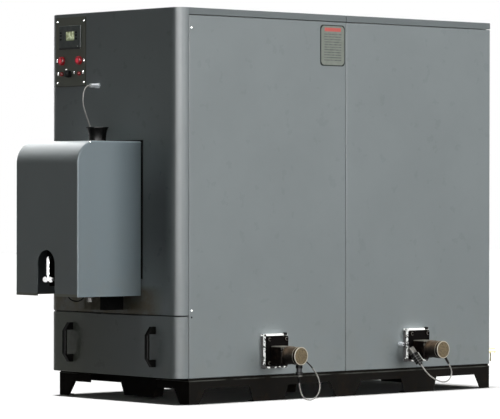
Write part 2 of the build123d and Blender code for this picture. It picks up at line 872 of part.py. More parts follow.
# Temperature sensor on the front, with its cable down to the cover
with BuildPart() as sensor_gland:
    with BuildSketch(Plane.XZ.offset(-front_face)):
        with Locations((sensor_x, sensor_height)):
            RegularPolygon(sensor_nut / 2, 6)
    extrude(amount=sensor_nut_length)
    with BuildSketch(Plane.XZ.offset(-front_face)):
        with Locations((sensor_x, sensor_height)):
            Circle(sensor_neck / 2)
    extrude(amount=sensor_length)
save(sensor_gland.part, "sensor_gland")

sensor_tip = front_face - sensor_length
sensor_entry = front_face - sensor_cable_setout
sensor_route = [
    (sensor_x, sensor_tip, sensor_height), (sensor_x, sensor_tip - 18, sensor_height),
    (-109, -1240, 1606), (-109, -1250, 1584), (-109, -1255, 1556), (-110, -1254, 1526),
    (-110, -1246, 1498), (-110, -1233, 1464), (-110, -1217, 1432), (-109, -1207, 1400),
    (sensor_x, sensor_entry, cover_top + 42), (sensor_x, sensor_entry, cover_top),
]
cord(sensor_route, sensor_cable_diameter, "sensor_cable")

# Gearmotors
front_cable_x = motor_end - front_cable_setback
rear_cable_x = motor_end - rear_cable_setback
gear_unit("front", front_unit_y, front_cable_angle, front_cable_x, front_sleeve_length)
gear_unit("rear", rear_unit_y, rear_cable_angle, rear_cable_x, rear_sleeve_length)

# Hanging plug of the front gearmotor: collar, body, union ring, foot and neck
plug_top = motor_height - motor_bell / 2
plug_shoulder = plug_top - plug_collar_length
plug_body_foot = plug_shoulder - plug_body_length
plug_ring_foot = plug_body_foot - plug_ring_length
plug_foot = plug_ring_foot - plug_foot_length
plug_tip = plug_foot - plug_neck_length
plug_outline = [
    (0, plug_top), (plug_collar / 2, plug_top), (plug_collar / 2, plug_shoulder),
    (plug_diameter / 2 - plug_groove, plug_shoulder),
    (plug_diameter / 2 - plug_groove, plug_shoulder - plug_groove),
    (plug_diameter / 2, plug_shoulder - plug_groove), (plug_diameter / 2, plug_body_foot),
    (plug_ring / 2, plug_body_foot), (plug_ring / 2, plug_ring_foot),
    (plug_diameter / 2, plug_ring_foot), (plug_neck / 2, plug_foot),
    (plug_neck / 2, plug_tip), (0, plug_tip),
]
with BuildPart() as motor_plug:
    with BuildSketch(Plane.XZ.offset(-front_unit_y)):
        with BuildLine():
            Polyline(*[(front_cable_x + radius, z) for radius, z in plug_outline], close=True)
        make_face()
    revolve(axis=Axis((front_cable_x, front_unit_y, 0), (0, 0, 1)))
save(motor_plug.part, "motor_plug_front")

front_reach = motor_bell / 2 + front_sleeve_length
front_route = [
    beside_motor(front_unit_y, front_cable_angle, front_reach, front_cable_x),
    beside_motor(front_unit_y, front_cable_angle, front_reach + 26, front_cable_x),
    (738, -421, 167), (740, -395, 133), (742, -379, 92), (743, -384, 52), (743, -409, 20),
    (742, -446, 7.5), (740, -484, 17), (738, -508, 46),
    (front_cable_x, front_unit_y, plug_tip - 38), (front_cable_x, front_unit_y, plug_tip),
]
cord(front_route, cable_diameter, "motor_cable_front")

# Panel gland, lead and in-line plug of the rear gearmotor
panel_gland_place = (rear_unit_y - panel_gland_setout, unit_height + panel_gland_rise)
with BuildPart() as panel_gland:
    with BuildSketch(Plane.YZ.offset(half_width)):
        with Locations(panel_gland_place):
            RegularPolygon(panel_gland_nut / 2, 6)
    extrude(amount=panel_gland_nut_length)
    with BuildSketch(Plane.YZ.offset(half_width)):
        with Locations(panel_gland_place):
            Circle(panel_gland_neck / 2)
    extrude(amount=panel_gland_reach)
save(panel_gland.part, "panel_gland_rear")

gland_tip = Vector(half_width + panel_gland_reach, *panel_gland_place)
inline_axis = Vector(*inline_direction).normalized()
inline_start = gland_tip + Vector(*inline_offset)
inline_waist = inline_start + inline_axis * inline_socket_length
inline_body = inline_waist + inline_axis * inline_waist_length
inline_tail = inline_body + inline_axis * inline_body_length
inline_end = inline_tail + inline_axis * inline_tail_length
with BuildPart() as inline_plug:
    with BuildSketch(Plane(inline_start, x_dir=(0, 1, 0), z_dir=inline_axis)):
        RectangleRounded(inline_socket_width, inline_socket_depth, inline_body_radius)
    extrude(amount=inline_socket_length)
    with BuildSketch(Plane(inline_waist, x_dir=(0, 1, 0), z_dir=inline_axis)):
        Circle(inline_waist_diameter / 2)
    extrude(amount=inline_waist_length)
    with BuildSketch(Plane(inline_body, x_dir=(0, 1, 0), z_dir=inline_axis)):
        RectangleRounded(inline_body_width, inline_body_depth, inline_body_radius)
    extrude(amount=inline_body_length)
    with BuildSketch(Plane(inline_tail, x_dir=(0, 1, 0), z_dir=inline_axis)):
        Circle(inline_tail_diameter / 2)
    extrude(amount=inline_tail_length)
save(inline_plug.part, "inline_plug_rear")

lead_route = [
    tuple(gland_tip), tuple(gland_tip + Vector(panel_lead_start, 0, 0)),
    tuple(inline_start - inline_axis * panel_lead_start), tuple(inline_start),
]
cord(lead_route, panel_lead_diameter, "panel_lead_rear")

rear_reach = motor_bell / 2 + rear_sleeve_length
rear_route = [
    tuple(inline_end), tuple(inline_end + inline_axis * 20),
    (680, 454, 108), (698, 481, 82), (713, 513, 66), (728, 543, 61), (736, 570, 80), (737, 580, 112),
    beside_motor(rear_unit_y, rear_cable_angle, rear_reach + 23, rear_cable_x),
    beside_motor(rear_unit_y, rear_cable_angle, rear_reach, rear_cable_x),
]
cord(rear_route, cable_diameter, "motor_cable_rear")

# Rear connections
with BuildPart() as flue_spigot:
    for diameter, length in ((flue_diameter, flue_length), (flue_collar, flue_collar_thickness)):
        with BuildSketch(Plane.XZ.offset(-rear_face)):
            with Locations((0, flue_height)):
                Circle(diameter / 2)
                Circle(flue_diameter / 2 - flue_wall, mode=Mode.SUBTRACT)
        extrude(amount=-length)
save(flue_spigot.part, "flue_spigot")

flange_face = rear_face + pipe_length
with BuildPart() as water_connections:
    for z in (flow_height, return_height):
        with BuildSketch(Plane.XZ.offset(-rear_face)):
            with Locations((pipe_x, z)):
                Circle(pipe_diameter / 2)
                Circle(pipe_bore / 2, mode=Mode.SUBTRACT)
        extrude(amount=-pipe_length)
        with BuildSketch(Plane.XZ.offset(-flange_face)):
            with Locations((pipe_x, z)):
                Circle(pipe_flange_diameter / 2)
                Circle(pipe_bore / 2, mode=Mode.SUBTRACT)
                with PolarLocations(pipe_flange_pitch_circle / 2, pipe_flange_holes,
                                    start_angle=180 / pipe_flange_holes):
                    Circle(pipe_flange_hole / 2, mode=Mode.SUBTRACT)
        extrude(amount=pipe_flange_thickness)
save(water_connections.part, "water_connections")

drain_tail_place = (drain_x, rear_face + drain_length - drain_tail_setback)
with BuildPart() as drain_valve:
    with BuildSketch(Plane.XZ.offset(-rear_face)):
        with Locations((drain_x, drain_height)):
            RegularPolygon(drain_nut / 2, 6)
    extrude(amount=-drain_nut_length)
    with BuildSketch(Plane.XZ.offset(-rear_face)):
        with Locations((drain_x, drain_height)):
            Circle(drain_body / 2)
    extrude(amount=-drain_length)
    with BuildSketch(Plane.XY.offset(drain_height)):
        with Locations(drain_tail_place):
            Circle(drain_tail / 2)
    extrude(amount=-drain_tail_drop)
    with BuildSketch(Plane.XY.offset(drain_height - drain_tail_drop)):
        with Locations(drain_tail_place):
            Circle(drain_tail_ring / 2)
    extrude(amount=drain_tail_ring_height)
save(drain_valve.part, "drain_valve")

# Service plate
service_centre = (
    -service_joint_gap - service_width / 2,
    panel_top - service_top_gap - service_height / 2,
)
with BuildPart() as service_plate:
    with BuildSketch(Plane.YZ.offset(half_width)):
        with Locations(service_centre):
            RectangleRounded(service_width, service_height, service_radius)
    extrude(amount=service_thickness)
save(service_plate.part, "service_plate")
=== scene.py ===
import json
import math

import bmesh
import bpy
from mathutils import Matrix, Vector


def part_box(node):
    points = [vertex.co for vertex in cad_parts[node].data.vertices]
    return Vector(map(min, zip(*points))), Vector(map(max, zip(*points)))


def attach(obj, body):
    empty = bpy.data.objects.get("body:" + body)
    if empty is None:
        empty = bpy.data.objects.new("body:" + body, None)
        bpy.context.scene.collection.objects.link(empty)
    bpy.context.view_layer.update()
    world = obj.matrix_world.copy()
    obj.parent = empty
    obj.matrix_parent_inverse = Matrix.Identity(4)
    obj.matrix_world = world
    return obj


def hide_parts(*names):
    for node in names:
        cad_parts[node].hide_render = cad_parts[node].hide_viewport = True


# Pellet boiler. Metres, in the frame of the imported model: +X right, front to -Y, +Z up.
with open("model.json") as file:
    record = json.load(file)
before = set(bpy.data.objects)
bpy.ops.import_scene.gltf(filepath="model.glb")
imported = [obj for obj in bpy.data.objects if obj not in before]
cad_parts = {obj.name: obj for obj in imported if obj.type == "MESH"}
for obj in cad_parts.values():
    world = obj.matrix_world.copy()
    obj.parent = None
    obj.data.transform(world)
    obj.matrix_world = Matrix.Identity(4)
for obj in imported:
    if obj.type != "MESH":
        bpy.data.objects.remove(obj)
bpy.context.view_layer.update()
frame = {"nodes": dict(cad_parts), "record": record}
nodes = frame["nodes"]

UP = (0, 0, 1)
FRONT = (0, -1, 0)
RIGHT = (1, 0, 0)

# The two gearmotors, and their axes' places along Y
UNITS = {"front": -0.519, "rear": 0.5}

# Camera, solved from the casing's edges in the 500 x 419 frame
CAMERA_PLACE = Vector((12.36399, -11.07578, 1.07058))
CAMERA_AZIMUTH = math.radians(48.68)
CAMERA_PITCH = math.radians(0.32)
CAMERA_ROLL = math.radians(0.09)
CAMERA_REACH = 200
FOCAL_PIXELS = 3084
FRAME_PIXELS = 500
SENSOR = 36

# Places shared by the finishes of the cables and plugs
FRONT_CABLE_START = Vector((0.737, -0.473, 0.208))
PANEL_LEAD_MIDDLE = Vector((0.580, 0.396, 0.258))
INLINE_START = Vector((0.600, 0.403, 0.242))
INLINE_AXIS = Vector((0.51, 0.274, -0.816)).normalized()

# Linear colours
CASE_GREY = (0.222, 0.25, 0.257)
# Painted shade of the burner cover's sides
COVER_SIDE_SHADE = (0.155, 0.193, 0.211)
# Painted shade on the ash drawer's left
DRAWER_LEFT_SHADE = (0.105, 0.116, 0.095)
PLATE_GREY = (0.142, 0.151, 0.122)
RIM_OLIVE = (0.2, 0.18, 0.12)
# Painted shade beside the burner cover and along the control plate's lower and right edges
PAINTED_SHADE = (0.012, 0.011, 0.009)
# Brown of soot and painted shade below the burner cover
SOOT_AND_SHADE_BROWN = (0.1, 0.085, 0.05)
DUST = (0.2, 0.185, 0.14)
RUBBER_BLACK = (0.004, 0.004, 0.004)


def new_object(name, data):
    """An object with this data, linked to the scene."""
    made = bpy.data.objects.new(name, data)
    bpy.context.scene.collection.objects.link(made)
    return made


camera_data = bpy.data.cameras.new("camera")
camera_data.sensor_width = SENSOR
camera_data.lens = FOCAL_PIXELS * SENSOR / FRAME_PIXELS
camera_data.clip_end = CAMERA_REACH
camera = new_object("camera", camera_data)
bpy.context.scene.camera = camera
looking_back = Vector((
    math.sin(CAMERA_AZIMUTH) * math.cos(CAMERA_PITCH),
    -math.cos(CAMERA_AZIMUTH) * math.cos(CAMERA_PITCH),
    math.sin(CAMERA_PITCH),
))
level_right = Vector((math.cos(CAMERA_AZIMUTH), math.sin(CAMERA_AZIMUTH), 0))
level_up = looking_back.cross(level_right)
camera_right = level_right * math.cos(CAMERA_ROLL) + level_up * math.sin(CAMERA_ROLL)
camera_up = level_up * math.cos(CAMERA_ROLL) - level_right * math.sin(CAMERA_ROLL)
camera_turn = Matrix((camera_right, camera_up, looking_back)).transposed()
camera.matrix_world = Matrix.Translation(CAMERA_PLACE) @ camera_turn.to_4x4()


# Shader building


class Shader:
    """A node material: a Principled shader, with short calls for the nodes that feed it."""

    def __init__(self, name, colour=(0.5, 0.5, 0.5), roughness=0.5, **inputs):
        self.material = bpy.data.materials.new(name)
        self.material.use_nodes = True
        self.tree = self.material.node_tree
        self.tree.nodes.clear()
        output = self.tree.nodes.new("ShaderNodeOutputMaterial")
        self.bsdf = self.tree.nodes.new("ShaderNodeBsdfPrincipled")
        self.tree.links.new(self.bsdf.outputs[0], output.inputs[0])
        self.place = self.tree.nodes.new("ShaderNodeTexCoord").outputs["Object"]
        self.set("Base Color", colour)
        self.set("Roughness", roughness)
        for socket, value in inputs.items():
            self.set(socket.replace("_", " "), value)

    def feed(self, socket, value):
        """Link a socket to value, or store value in it."""
        if isinstance(value, bpy.types.NodeSocket):
            self.tree.links.new(value, socket)
        elif socket.type == "RGBA" and len(value) == 3:
            socket.default_value = (*value, 1)
        else:
            socket.default_value = value

    def set(self, name, value):
        self.feed(self.bsdf.inputs[name], value)

    def node(self, kind, *values, **settings):
        """A node with its settings, its first inputs filled in order, None leaving one alone."""
        made = self.tree.nodes.new("ShaderNode" + kind)
        for key, value in settings.items():
            setattr(made, key, value)
        for socket, value in zip(made.inputs, values):
            if value is not None:
                self.feed(socket, value)
        return made

    def math(self, operation, a, b=0.0):
        return self.node("Math", a, b, operation=operation).outputs[0]

    def product(self, first, *others):
        for other in others:
            first = self.math("MULTIPLY", first, other)
        return first

    def largest(self, first, *others):
        for other in others:
            first = self.math("MAXIMUM", first, other)
        return first

    def axis(self, name):
        """One coordinate of the point at rest, in metres."""
        return self.node("SeparateXYZ", self.place).outputs[name]

    def distance(self, spot):
        """How far the point at rest is from a spot, in metres."""
        return self.node("VectorMath", self.place, spot, operation="DISTANCE").outputs["Value"]

    def noise(self, scale, detail, grain=0.55, stretch=None):
        where = self.place
        if stretch:
            where = self.node("Mapping", where, None, None, stretch).outputs[0]
        made = self.node("TexNoise", where)
        made.inputs["Scale"].default_value = scale
        made.inputs["Detail"].default_value = detail
        made.inputs["Roughness"].default_value = grain
        return made.outputs[0]

    def cells(self, scale):
        made = self.node("TexVoronoi", self.place)
        made.inputs["Scale"].default_value = scale
        return made.outputs["Distance"]

    def ramp(self, value, low, high, to_low=0.0, to_high=1.0):
        """value mapped smoothly from low..high to to_low..to_high, held at both ends."""
        values = (value, low, high, to_low, to_high)
        return self.node("MapRange", *values, interpolation_type="SMOOTHSTEP").outputs[0]

    def fall(self, value, low, high, level=1.0):
        """level where value is under low, 0 where it is over high."""
        return self.ramp(value, low, high, level, 0.0)

    def patches(self, scale, detail, low, high, to_low=0.0, to_high=1.0, grain=0.55):
        """Uneven patches: noise mapped from low..high to to_low..to_high."""
        return self.ramp(self.noise(scale, detail, grain), low, high, to_low, to_high)

    def between(self, value, low, high, soft):
        """1 where value lies between low and high, 0 elsewhere, with soft edges."""
        rising = self.ramp(value, low - soft, low + soft)
        return self.product(rising, self.fall(value, high - soft, high + soft))

    def mix(self, share, a, b):
        made = self.node("Mix", data_type="RGBA")
        self.feed(made.inputs["Factor"], share)
        self.feed(made.inputs[6], a)
        self.feed(made.inputs[7], b)
        return made.outputs[2]

    def bump(self, height, distance, strength):
        made = self.node("Bump")
        made.inputs["Strength"].default_value = strength
        made.inputs["Distance"].default_value = distance
        self.feed(made.inputs["Height"], height)
        self.set("Normal", made.outputs[0])


def tint(colour, amount):
    """colour made lighter or darker by a factor."""
    return tuple(min(1, channel * amount) for channel in colour)


class PowderCoat(Shader):
    """Satin grey powder coat, finely pebbled."""

    PEBBLE_SCALE = 900
    PEBBLE_DEPTH = 0.00012
    DUST_HEIGHT = 0.5

    def __init__(self, name, roughness=0.3, shine=0.11):
        super().__init__(name, roughness=roughness, Specular_IOR_Level=shine)
        self.bump(self.noise(self.PEBBLE_SCALE, 2), self.PEBBLE_DEPTH, 0.35)

    def drift(self, colour, darkest, lightest):
        """colour drifting slowly between two shades of it."""
        share = self.patches(2.3, 4, 0.3, 0.7)
        return self.mix(share, tint(colour, darkest), tint(colour, lightest))

    def dusted(self, base, foot):
        """base with patches of dust up to foot, thinning out over the half metre above it."""
        share = self.fall(self.axis("Z"), foot, foot + self.DUST_HEIGHT, 0.12)
        return self.mix(self.product(share, self.patches(9, 5, 0.35, 0.7)), base, DUST)

    def satin(self):
        """Roughness of clean powder coat, a little uneven."""
        return self.patches(14, 4, 0.3, 0.7, 0.27, 0.34)


def case_paint():
    """Powder coat of the casing's sides and back, a little dusty low down."""
    shader = PowderCoat("case_paint")
    shader.set("Base Color", shader.dusted(shader.drift(CASE_GREY, 0.97, 1.03), 0.15))
    shader.set("Roughness", shader.satin())
    return shader.material


def drawer_paint():
    """Powder coat of the ash drawer's front, darker than the casing's sides and darker and browner
    towards the left: painted shade.
    """
    shader = PowderCoat("drawer_paint")
    # A darker copy of the casing grey, darkest on the left: painted shade
    grey = shader.drift(tint(CASE_GREY, 0.88), 0.97, 1.03)
    base = shader.mix(shader.ramp(shader.axis("X"), -0.45, 0.4), DRAWER_LEFT_SHADE, grey)
    shader.set("Base Color", shader.dusted(base, 0.15))
    shader.set("Roughness", shader.satin())
    return shader.material


def cover_paint():
    """Powder coat of the burner cover: sides darkened by painted shade with a painted highlight
    along their front bend, an olive lower rim, duller dust on top.
    """
    shader = PowderCoat("cover_paint")
    low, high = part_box("burner_cover")
    height = shader.axis("Z")
    front = shader.between(shader.axis("X"), low.x + 0.004, high.x - 0.004, 0.003)
    # The sides get a darker copy of the grey, lighter along the front bend: painted shade and a
    # painted highlight
    bend_highlight = shader.fall(shader.axis("Y"), low.y + 0.003, low.y + 0.009, 0.5)
    side = shader.mix(bend_highlight, COVER_SIDE_SHADE, tint(COVER_SIDE_SHADE, 1.4))
    base = shader.mix(front, side, shader.drift(CASE_GREY, 0.97, 1.03))
    rim = shader.fall(height, low.z + 0.011, low.z + 0.015, 0.55)
    base = shader.mix(shader.product(rim, front), base, RIM_OLIVE)
    shader.set("Base Color", shader.dusted(base, 0.55))
    top = shader.ramp(height, high.z - 0.03, high.z - 0.006, 0.3, 0.44)
    shader.set("Roughness", shader.largest(shader.satin(), top))
    return shader.material


def front_paint():
    """Powder coat of the front panel: a darker copy of the casing grey, darkest on the left
    (painted shade), browned below the burner cover (soot, with the cover's shade painted in), and
    darkened at the cover's height out to a little right of it (painted shade).
    """
    shader = PowderCoat("front_paint")
    across = shader.axis("X")
    height = shader.axis("Z")
    # Darker copies of the casing grey, darkest on the left: painted shade
    shaded_left_grey = shader.drift(CASE_GREY, 0.79, 0.84)
    shaded_right_grey = shader.drift(CASE_GREY, 0.9, 0.95)
    base = shader.mix(shader.ramp(across, -0.5, 0.45), shaded_left_grey, shaded_right_grey)
    low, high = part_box("burner_cover")
    # Brown below the cover: soot, with the cover's shade painted in
    strip = shader.fall(height, low.z + 0.02, low.z + 0.06)
    under = shader.between(across, low.x - 0.4, high.x + 0.12, 0.08)
    soot_and_shade_patches = shader.patches(11, 4, 0.25, 0.6, 0.5, 0.95)
    base = shader.mix(shader.product(strip, under, soot_and_shade_patches), base, SOOT_AND_SHADE_BROWN)
    # Darker at the cover's height, out to a little right of it: painted shade
    shade_beside_cover = shader.fall(across, high.x + 0.17, high.x + 0.26, 0.6)
    level = shader.between(height, low.z + 0.12, high.z - 0.12, 0.22)
    shader.set("Base Color", shader.mix(shader.product(shade_beside_cover, level), base, PAINTED_SHADE))
    shader.set("Roughness", shader.satin())
    return shader.material


def roof_paint():
    """Powder coat of the roof trays, dusty and duller on top."""
    shader = PowderCoat("roof_paint", shine=0.05)
    roof_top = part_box("roof_front")[1].z
    top = shader.ramp(shader.axis("Z"), roof_top - 0.002, roof_top - 0.0005)
    dusty = shader.mix(shader.patches(6, 5, 0.4, 0.75), CASE_GREY, (0.24, 0.24, 0.22))
    shader.set("Base Color", shader.mix(top, shader.drift(CASE_GREY, 0.74, 0.8), dusty))
    shader.set("Roughness", shader.ramp(top, 0.0, 1.0, 0.3, 0.9))
    return shader.material


def plate_paint():
    """Powder coat of the control plate, with a shadowed joint along its bottom and right edges."""
    shader = PowderCoat("plate_paint", roughness=0.4)
    low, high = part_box("control_plate")
    base = shader.mix(shader.patches(6, 4, 0.3, 0.7), tint(PLATE_GREY, 0.9), PLATE_GREY)
    # Near black along the bottom and right edges: painted shadow
    bottom = shader.fall(shader.axis("Z"), low.z + 0.003, low.z + 0.006, 0.9)
    right = shader.ramp(shader.axis("X"), high.x - 0.006, high.x - 0.003, 0.0, 0.6)
    shader.set("Base Color", shader.mix(shader.largest(bottom, right), base, PAINTED_SHADE))
    return shader.material


def throat_paint():
    """Ash throat: black, with its front browned and paler on the left."""
    shader = Shader("throat_paint", roughness=0.6, Specular_IOR_Level=0.01)
    low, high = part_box("ash_throat")
    front = shader.fall(shader.axis("Y"), low.y + 0.001, low.y + 0.003)
    left = shader.fall(shader.axis("X"), high.x - 0.055, high.x - 0.05)
    brown = shader.mix(shader.patches(20, 4, 0.3, 0.7), (0.14, 0.13, 0.1), (0.25, 0.235, 0.19))
    browned = shader.mix(shader.product(front, left), (0.003, 0.003, 0.003), brown)
    shader.set("Base Color", browned)
    shader.bump(shader.noise(300, 3), 0.0003, 0.35)
    return shader.material


def base_paint():
    """Black paint on folded steel, browned low down, darkest on its inset front by painted shade,
    with a painted highlight along its top edge.
    """
    shader = Shader("base_paint", roughness=0.5, Specular_IOR_Level=0.008)
    base_front = min(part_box(name)[0].y for name in nodes if name.startswith("base_"))
    highlight_low, highlight_high = 0.1165, 0.1218
    height = shader.axis("Z")
    rust = shader.patches(16, 8, 0.5, 0.68, grain=0.7)
    share = shader.product(rust, shader.ramp(height, 0.0, 0.14, 0.6, 0.2))
    painted = shader.mix(share, (0.0105, 0.0098, 0.0088), (0.022, 0.015, 0.009))
    # The inset front faces are darkened: painted shade
    front = shader.fall(shader.axis("Y"), base_front + 0.001, base_front + 0.003)
    painted = shader.mix(front, painted, (0.0022, 0.0017, 0.0012))
    # Pale line along the top edge, broken into patches: painted highlight
    edge = shader.between(height, highlight_low, highlight_high, 0.0006)
    edge_highlight = shader.product(edge, shader.patches(7, 4, 0.3, 0.6))
    shader.set("Base Color", shader.mix(edge_highlight, painted, (0.075, 0.077, 0.068)))
    shader.set("Roughness", shader.patches(22, 5, 0.3, 0.7, 0.42, 0.68))
    shader.bump(shader.noise(160, 5), 0.0004, 0.4)
    return shader.material


def dark_steel(name):
    """Matt black heat-proof paint, greyed by ash."""
    shader = Shader(name, roughness=0.6, Specular_IOR_Level=0.005)
    ash = shader.patches(11, 6, 0.48, 0.75, 0.0, 0.4, grain=0.65)
    shader.set("Base Color", shader.mix(ash, (0.0035, 0.0028, 0.0024), (0.016, 0.013, 0.01)))
    shader.bump(shader.noise(300, 3), 0.0003, 0.35)
    return shader.material


def gear_case_paint(unit):
    """Near-black flange and brown casting past it, with painted highlights: a pale line along the
    top edge and pale patches on the upper part of the end.
    """
    shader = Shader(f"gear_case_{unit}", roughness=0.5, Specular_IOR_Level=0.015)
    motor_low, motor_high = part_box(f"motor_{unit}")
    flange_face = motor_low.x - 0.0825
    case_end = motor_low.x - 0.004
    case_top = motor_high.z
    height = shader.axis("Z")
    along = shader.axis("X")
    brown = shader.mix(
        shader.patches(28, 5, 0.4, 0.7), (0.0045, 0.003, 0.0025), (0.02, 0.013, 0.009),
    )
    past_flange = shader.ramp(along, flange_face - 0.001, flange_face + 0.001)
    dark = shader.mix(past_flange, (0.0028, 0.0022, 0.002), brown)
    # Pale line along the top and pale patches high on the end: painted highlights
    top = shader.between(height, case_top - 0.004, case_top + 0.002, 0.0012)
    end = shader.ramp(along, case_end - 0.002, case_end + 0.002)
    upper = shader.ramp(height, case_top - 0.04, case_top - 0.012)
    end_highlight = shader.product(end, upper, shader.patches(90, 3, 0.42, 0.56))
    painted_highlights = shader.largest(shader.product(top, past_flange), end_highlight)
    shader.set("Base Color", shader.mix(painted_highlights, dark, (0.15, 0.145, 0.125)))
    shader.bump(shader.noise(260, 4), 0.0004, 0.4)
    return shader.material


def bracket_zinc(unit):
    """Pale zinc-plated sheet, black inside, and sooty along its bottom lip and near edge."""
    shader = Shader(f"bracket_zinc_{unit}", roughness=0.38, Metallic=0.2)
    low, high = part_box(f"auger_bracket_{unit}")
    height = shader.axis("Z")
    across = shader.axis("Y")
    streak = shader.ramp(shader.noise(1, 4, 0.6, stretch=(60, 60, 14)), 0.35, 0.65)
    zinc = shader.mix(streak, (0.74, 0.74, 0.72), (0.92, 0.92, 0.9))
    blotch = shader.noise(75, 4, 0.6)
    near_edge = shader.fall(across, low.y + 0.012, low.y + 0.018)
    bottom = shader.fall(height, low.z + 0.017, low.z + 0.02)
    near_wall = shader.fall(across, low.y + 0.003, low.y + 0.006)
    below_top = shader.fall(height, high.z - 0.012, high.z - 0.008)
    behind_lip = shader.fall(shader.axis("X"), high.x - 0.02, high.x - 0.018)
    inside_y = shader.between(across, low.y + 0.0045, low.y + 0.04, 0.0005)
    inside_z = shader.between(height, low.z + 0.02, high.z - 0.0095, 0.001)
    soot = shader.largest(
        shader.product(near_edge, shader.ramp(blotch, 0.53, 0.58)),
        shader.product(bottom, shader.patches(34, 2, 0.4, 0.47)),
        shader.product(near_wall, below_top, behind_lip),
        shader.product(inside_y, inside_z),
    )
    shader.set("Base Color", shader.mix(soot, zinc, (0.006, 0.005, 0.005)))
    shader.set("Roughness", shader.ramp(soot, 0.0, 1.0, 0.34, 0.7))
    shader.bump(blotch, 0.0003, 0.4)
    return shader.material


def plug_moulding():
    """Front motor plug: black collar, ribbed blue-grey grip, black and bright rings, black tail."""
    rib_pitch = 0.0045
    grip_low, grip_high = 0.156, 0.174
    ring_low, ring_high = 0.1325, 0.1385
    shader = Shader("plug_moulding", roughness=0.4, Specular_IOR_Level=0.08)
    height = shader.axis("Z")
    ribs = shader.math("SINE", shader.product(height, 2 * math.pi / rib_pitch))
    grip = shader.mix(shader.ramp(ribs, -0.6, 0.6), (0.008, 0.009, 0.01), (0.05, 0.053, 0.06))
    on_grip = shader.between(height, grip_low, grip_high, 0.0012)
    on_ring = shader.between(height, ring_low, ring_high, 0.0008)
    banded = shader.mix(on_grip, RUBBER_BLACK, grip)
    shader.set("Base Color", shader.mix(on_ring, banded, (0.6, 0.6, 0.57)))
    shader.bump(shader.noise(500, 2), 0.0001, 0.3)
    return shader.material


def inline_moulding():
    """In-line plug: mid-grey socket, dark waist, ribbed dark body."""
    rib_pitch = 0.0135
    shader = Shader("inline_moulding", roughness=0.45, Specular_IOR_Level=0.1)
    along = shader.node("VectorMath", shader.place, INLINE_AXIS, operation="DOT_PRODUCT")
    down = along.outputs["Value"]
    start = INLINE_START.dot(INLINE_AXIS)
    socket_end = start + 0.034
    body_start = start + 0.048
    ribs = shader.math("SINE", shader.product(down, 2 * math.pi / rib_pitch))
    ridge = shader.ramp(ribs, -0.2, 0.5)
    ribbed = shader.mix(ridge, (0.006, 0.006, 0.0055), (0.075, 0.075, 0.07))
    on_body = shader.ramp(down, body_start - 0.002, body_start + 0.002)
    body = shader.mix(on_body, RUBBER_BLACK, ribbed)
    grime = shader.mix(
        shader.patches(60, 3, 0.35, 0.65), (0.15, 0.145, 0.13), (0.24, 0.235, 0.215),
    )
    on_socket = shader.fall(down, socket_end - 0.001, socket_end + 0.001)
    shader.set("Base Color", shader.mix(on_socket, body, grime))
    shader.bump(ribs, 0.0004, 0.3)
    return shader.material


def inner_steel():
    """Sheet inside the pocket and the body, browned and dusted with ash."""
    shader = Shader("inner_steel", roughness=0.6, Specular_IOR_Level=0.1)
    ash = shader.patches(7, 6, 0.4, 0.7, grain=0.6)
    shader.set("Base Color", shader.mix(ash, (0.03, 0.028, 0.025), (0.1, 0.095, 0.085)))
    shader.bump(shader.noise(120, 4), 0.0004, 0.4)
    return shader.material


def plastic(name, colour, roughness, pebble=700, shine=0.05):
    """Moulded plastic with a fine pebble and slightly uneven gloss."""
    shader = Shader(name, roughness=roughness, Specular_IOR_Level=shine)
    share = shader.patches(40, 3, 0.3, 0.7)
    shader.set("Base Color", shader.mix(share, tint(colour, 0.9), tint(colour, 1.12)))
    gloss = shader.patches(25, 3, 0.3, 0.7, roughness * 0.9, roughness * 1.12)
    shader.set("Roughness", gloss)
    shader.bump(shader.noise(pebble, 2), 0.00012, 0.4)
    return shader.material


def display_plastic():
    """Dark grey moulding of the display with a painted shadow along its bottom edge, and the black
    knob.
    """
    shader = Shader("display_black", roughness=0.42, Specular_IOR_Level=0.08)
    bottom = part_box("display_unit")[0].z
    height = shader.axis("Z")
    grey = shader.mix(
        shader.patches(40, 3, 0.3, 0.7), (0.085, 0.098, 0.095), (0.11, 0.125, 0.12),
    )
    # Near black along the bottom edge: painted shadow
    foot = shader.between(height, bottom - 0.002, bottom + 0.009, 0.0015)
    above_knob = shader.ramp(height, bottom - 0.06, bottom - 0.05)
    display = shader.mix(foot, grey, RUBBER_BLACK)
    shader.set("Base Color", shader.mix(above_knob, RUBBER_BLACK, display))
    shader.bump(shader.noise(700, 2), 0.00012, 0.4)
    return shader.material


def bright_metal(name, colour, roughness, streak=(4, 4, 90), dirt=0.35):
    """Plated metal with fine streaks and darker dirt."""
    shader = Shader(name, roughness=roughness, Metallic=1.0)
    lines = shader.noise(1, 3, 0.6, stretch=streak)
    grime = shader.patches(30, 6, 0.5, 0.72, 0.0, dirt, grain=0.65)
    base = shader.mix(shader.ramp(lines, 0.3, 0.7), tint(colour, 0.88), colour)
    shader.set("Base Color", shader.mix(grime, base, (0.07, 0.055, 0.04)))
    shader.set("Roughness", shader.ramp(lines, 0.3, 0.7, roughness * 0.85, roughness * 1.25))
    shader.bump(lines, 0.00015, 0.3)
    return shader.material


def gland_nickel():
    """Pale glossy gland: hexagon nut and neck."""
    shader = Shader("gland_white", roughness=0.3, Specular_IOR_Level=0.3)
    share = shader.patches(50, 3, 0.35, 0.65)
    shader.set("Base Color", shader.mix(share, (0.95, 0.97, 1.0), (0.82, 0.85, 0.89)))
    shader.bump(shader.noise(160, 2), 0.0002, 0.3)
    return shader.material


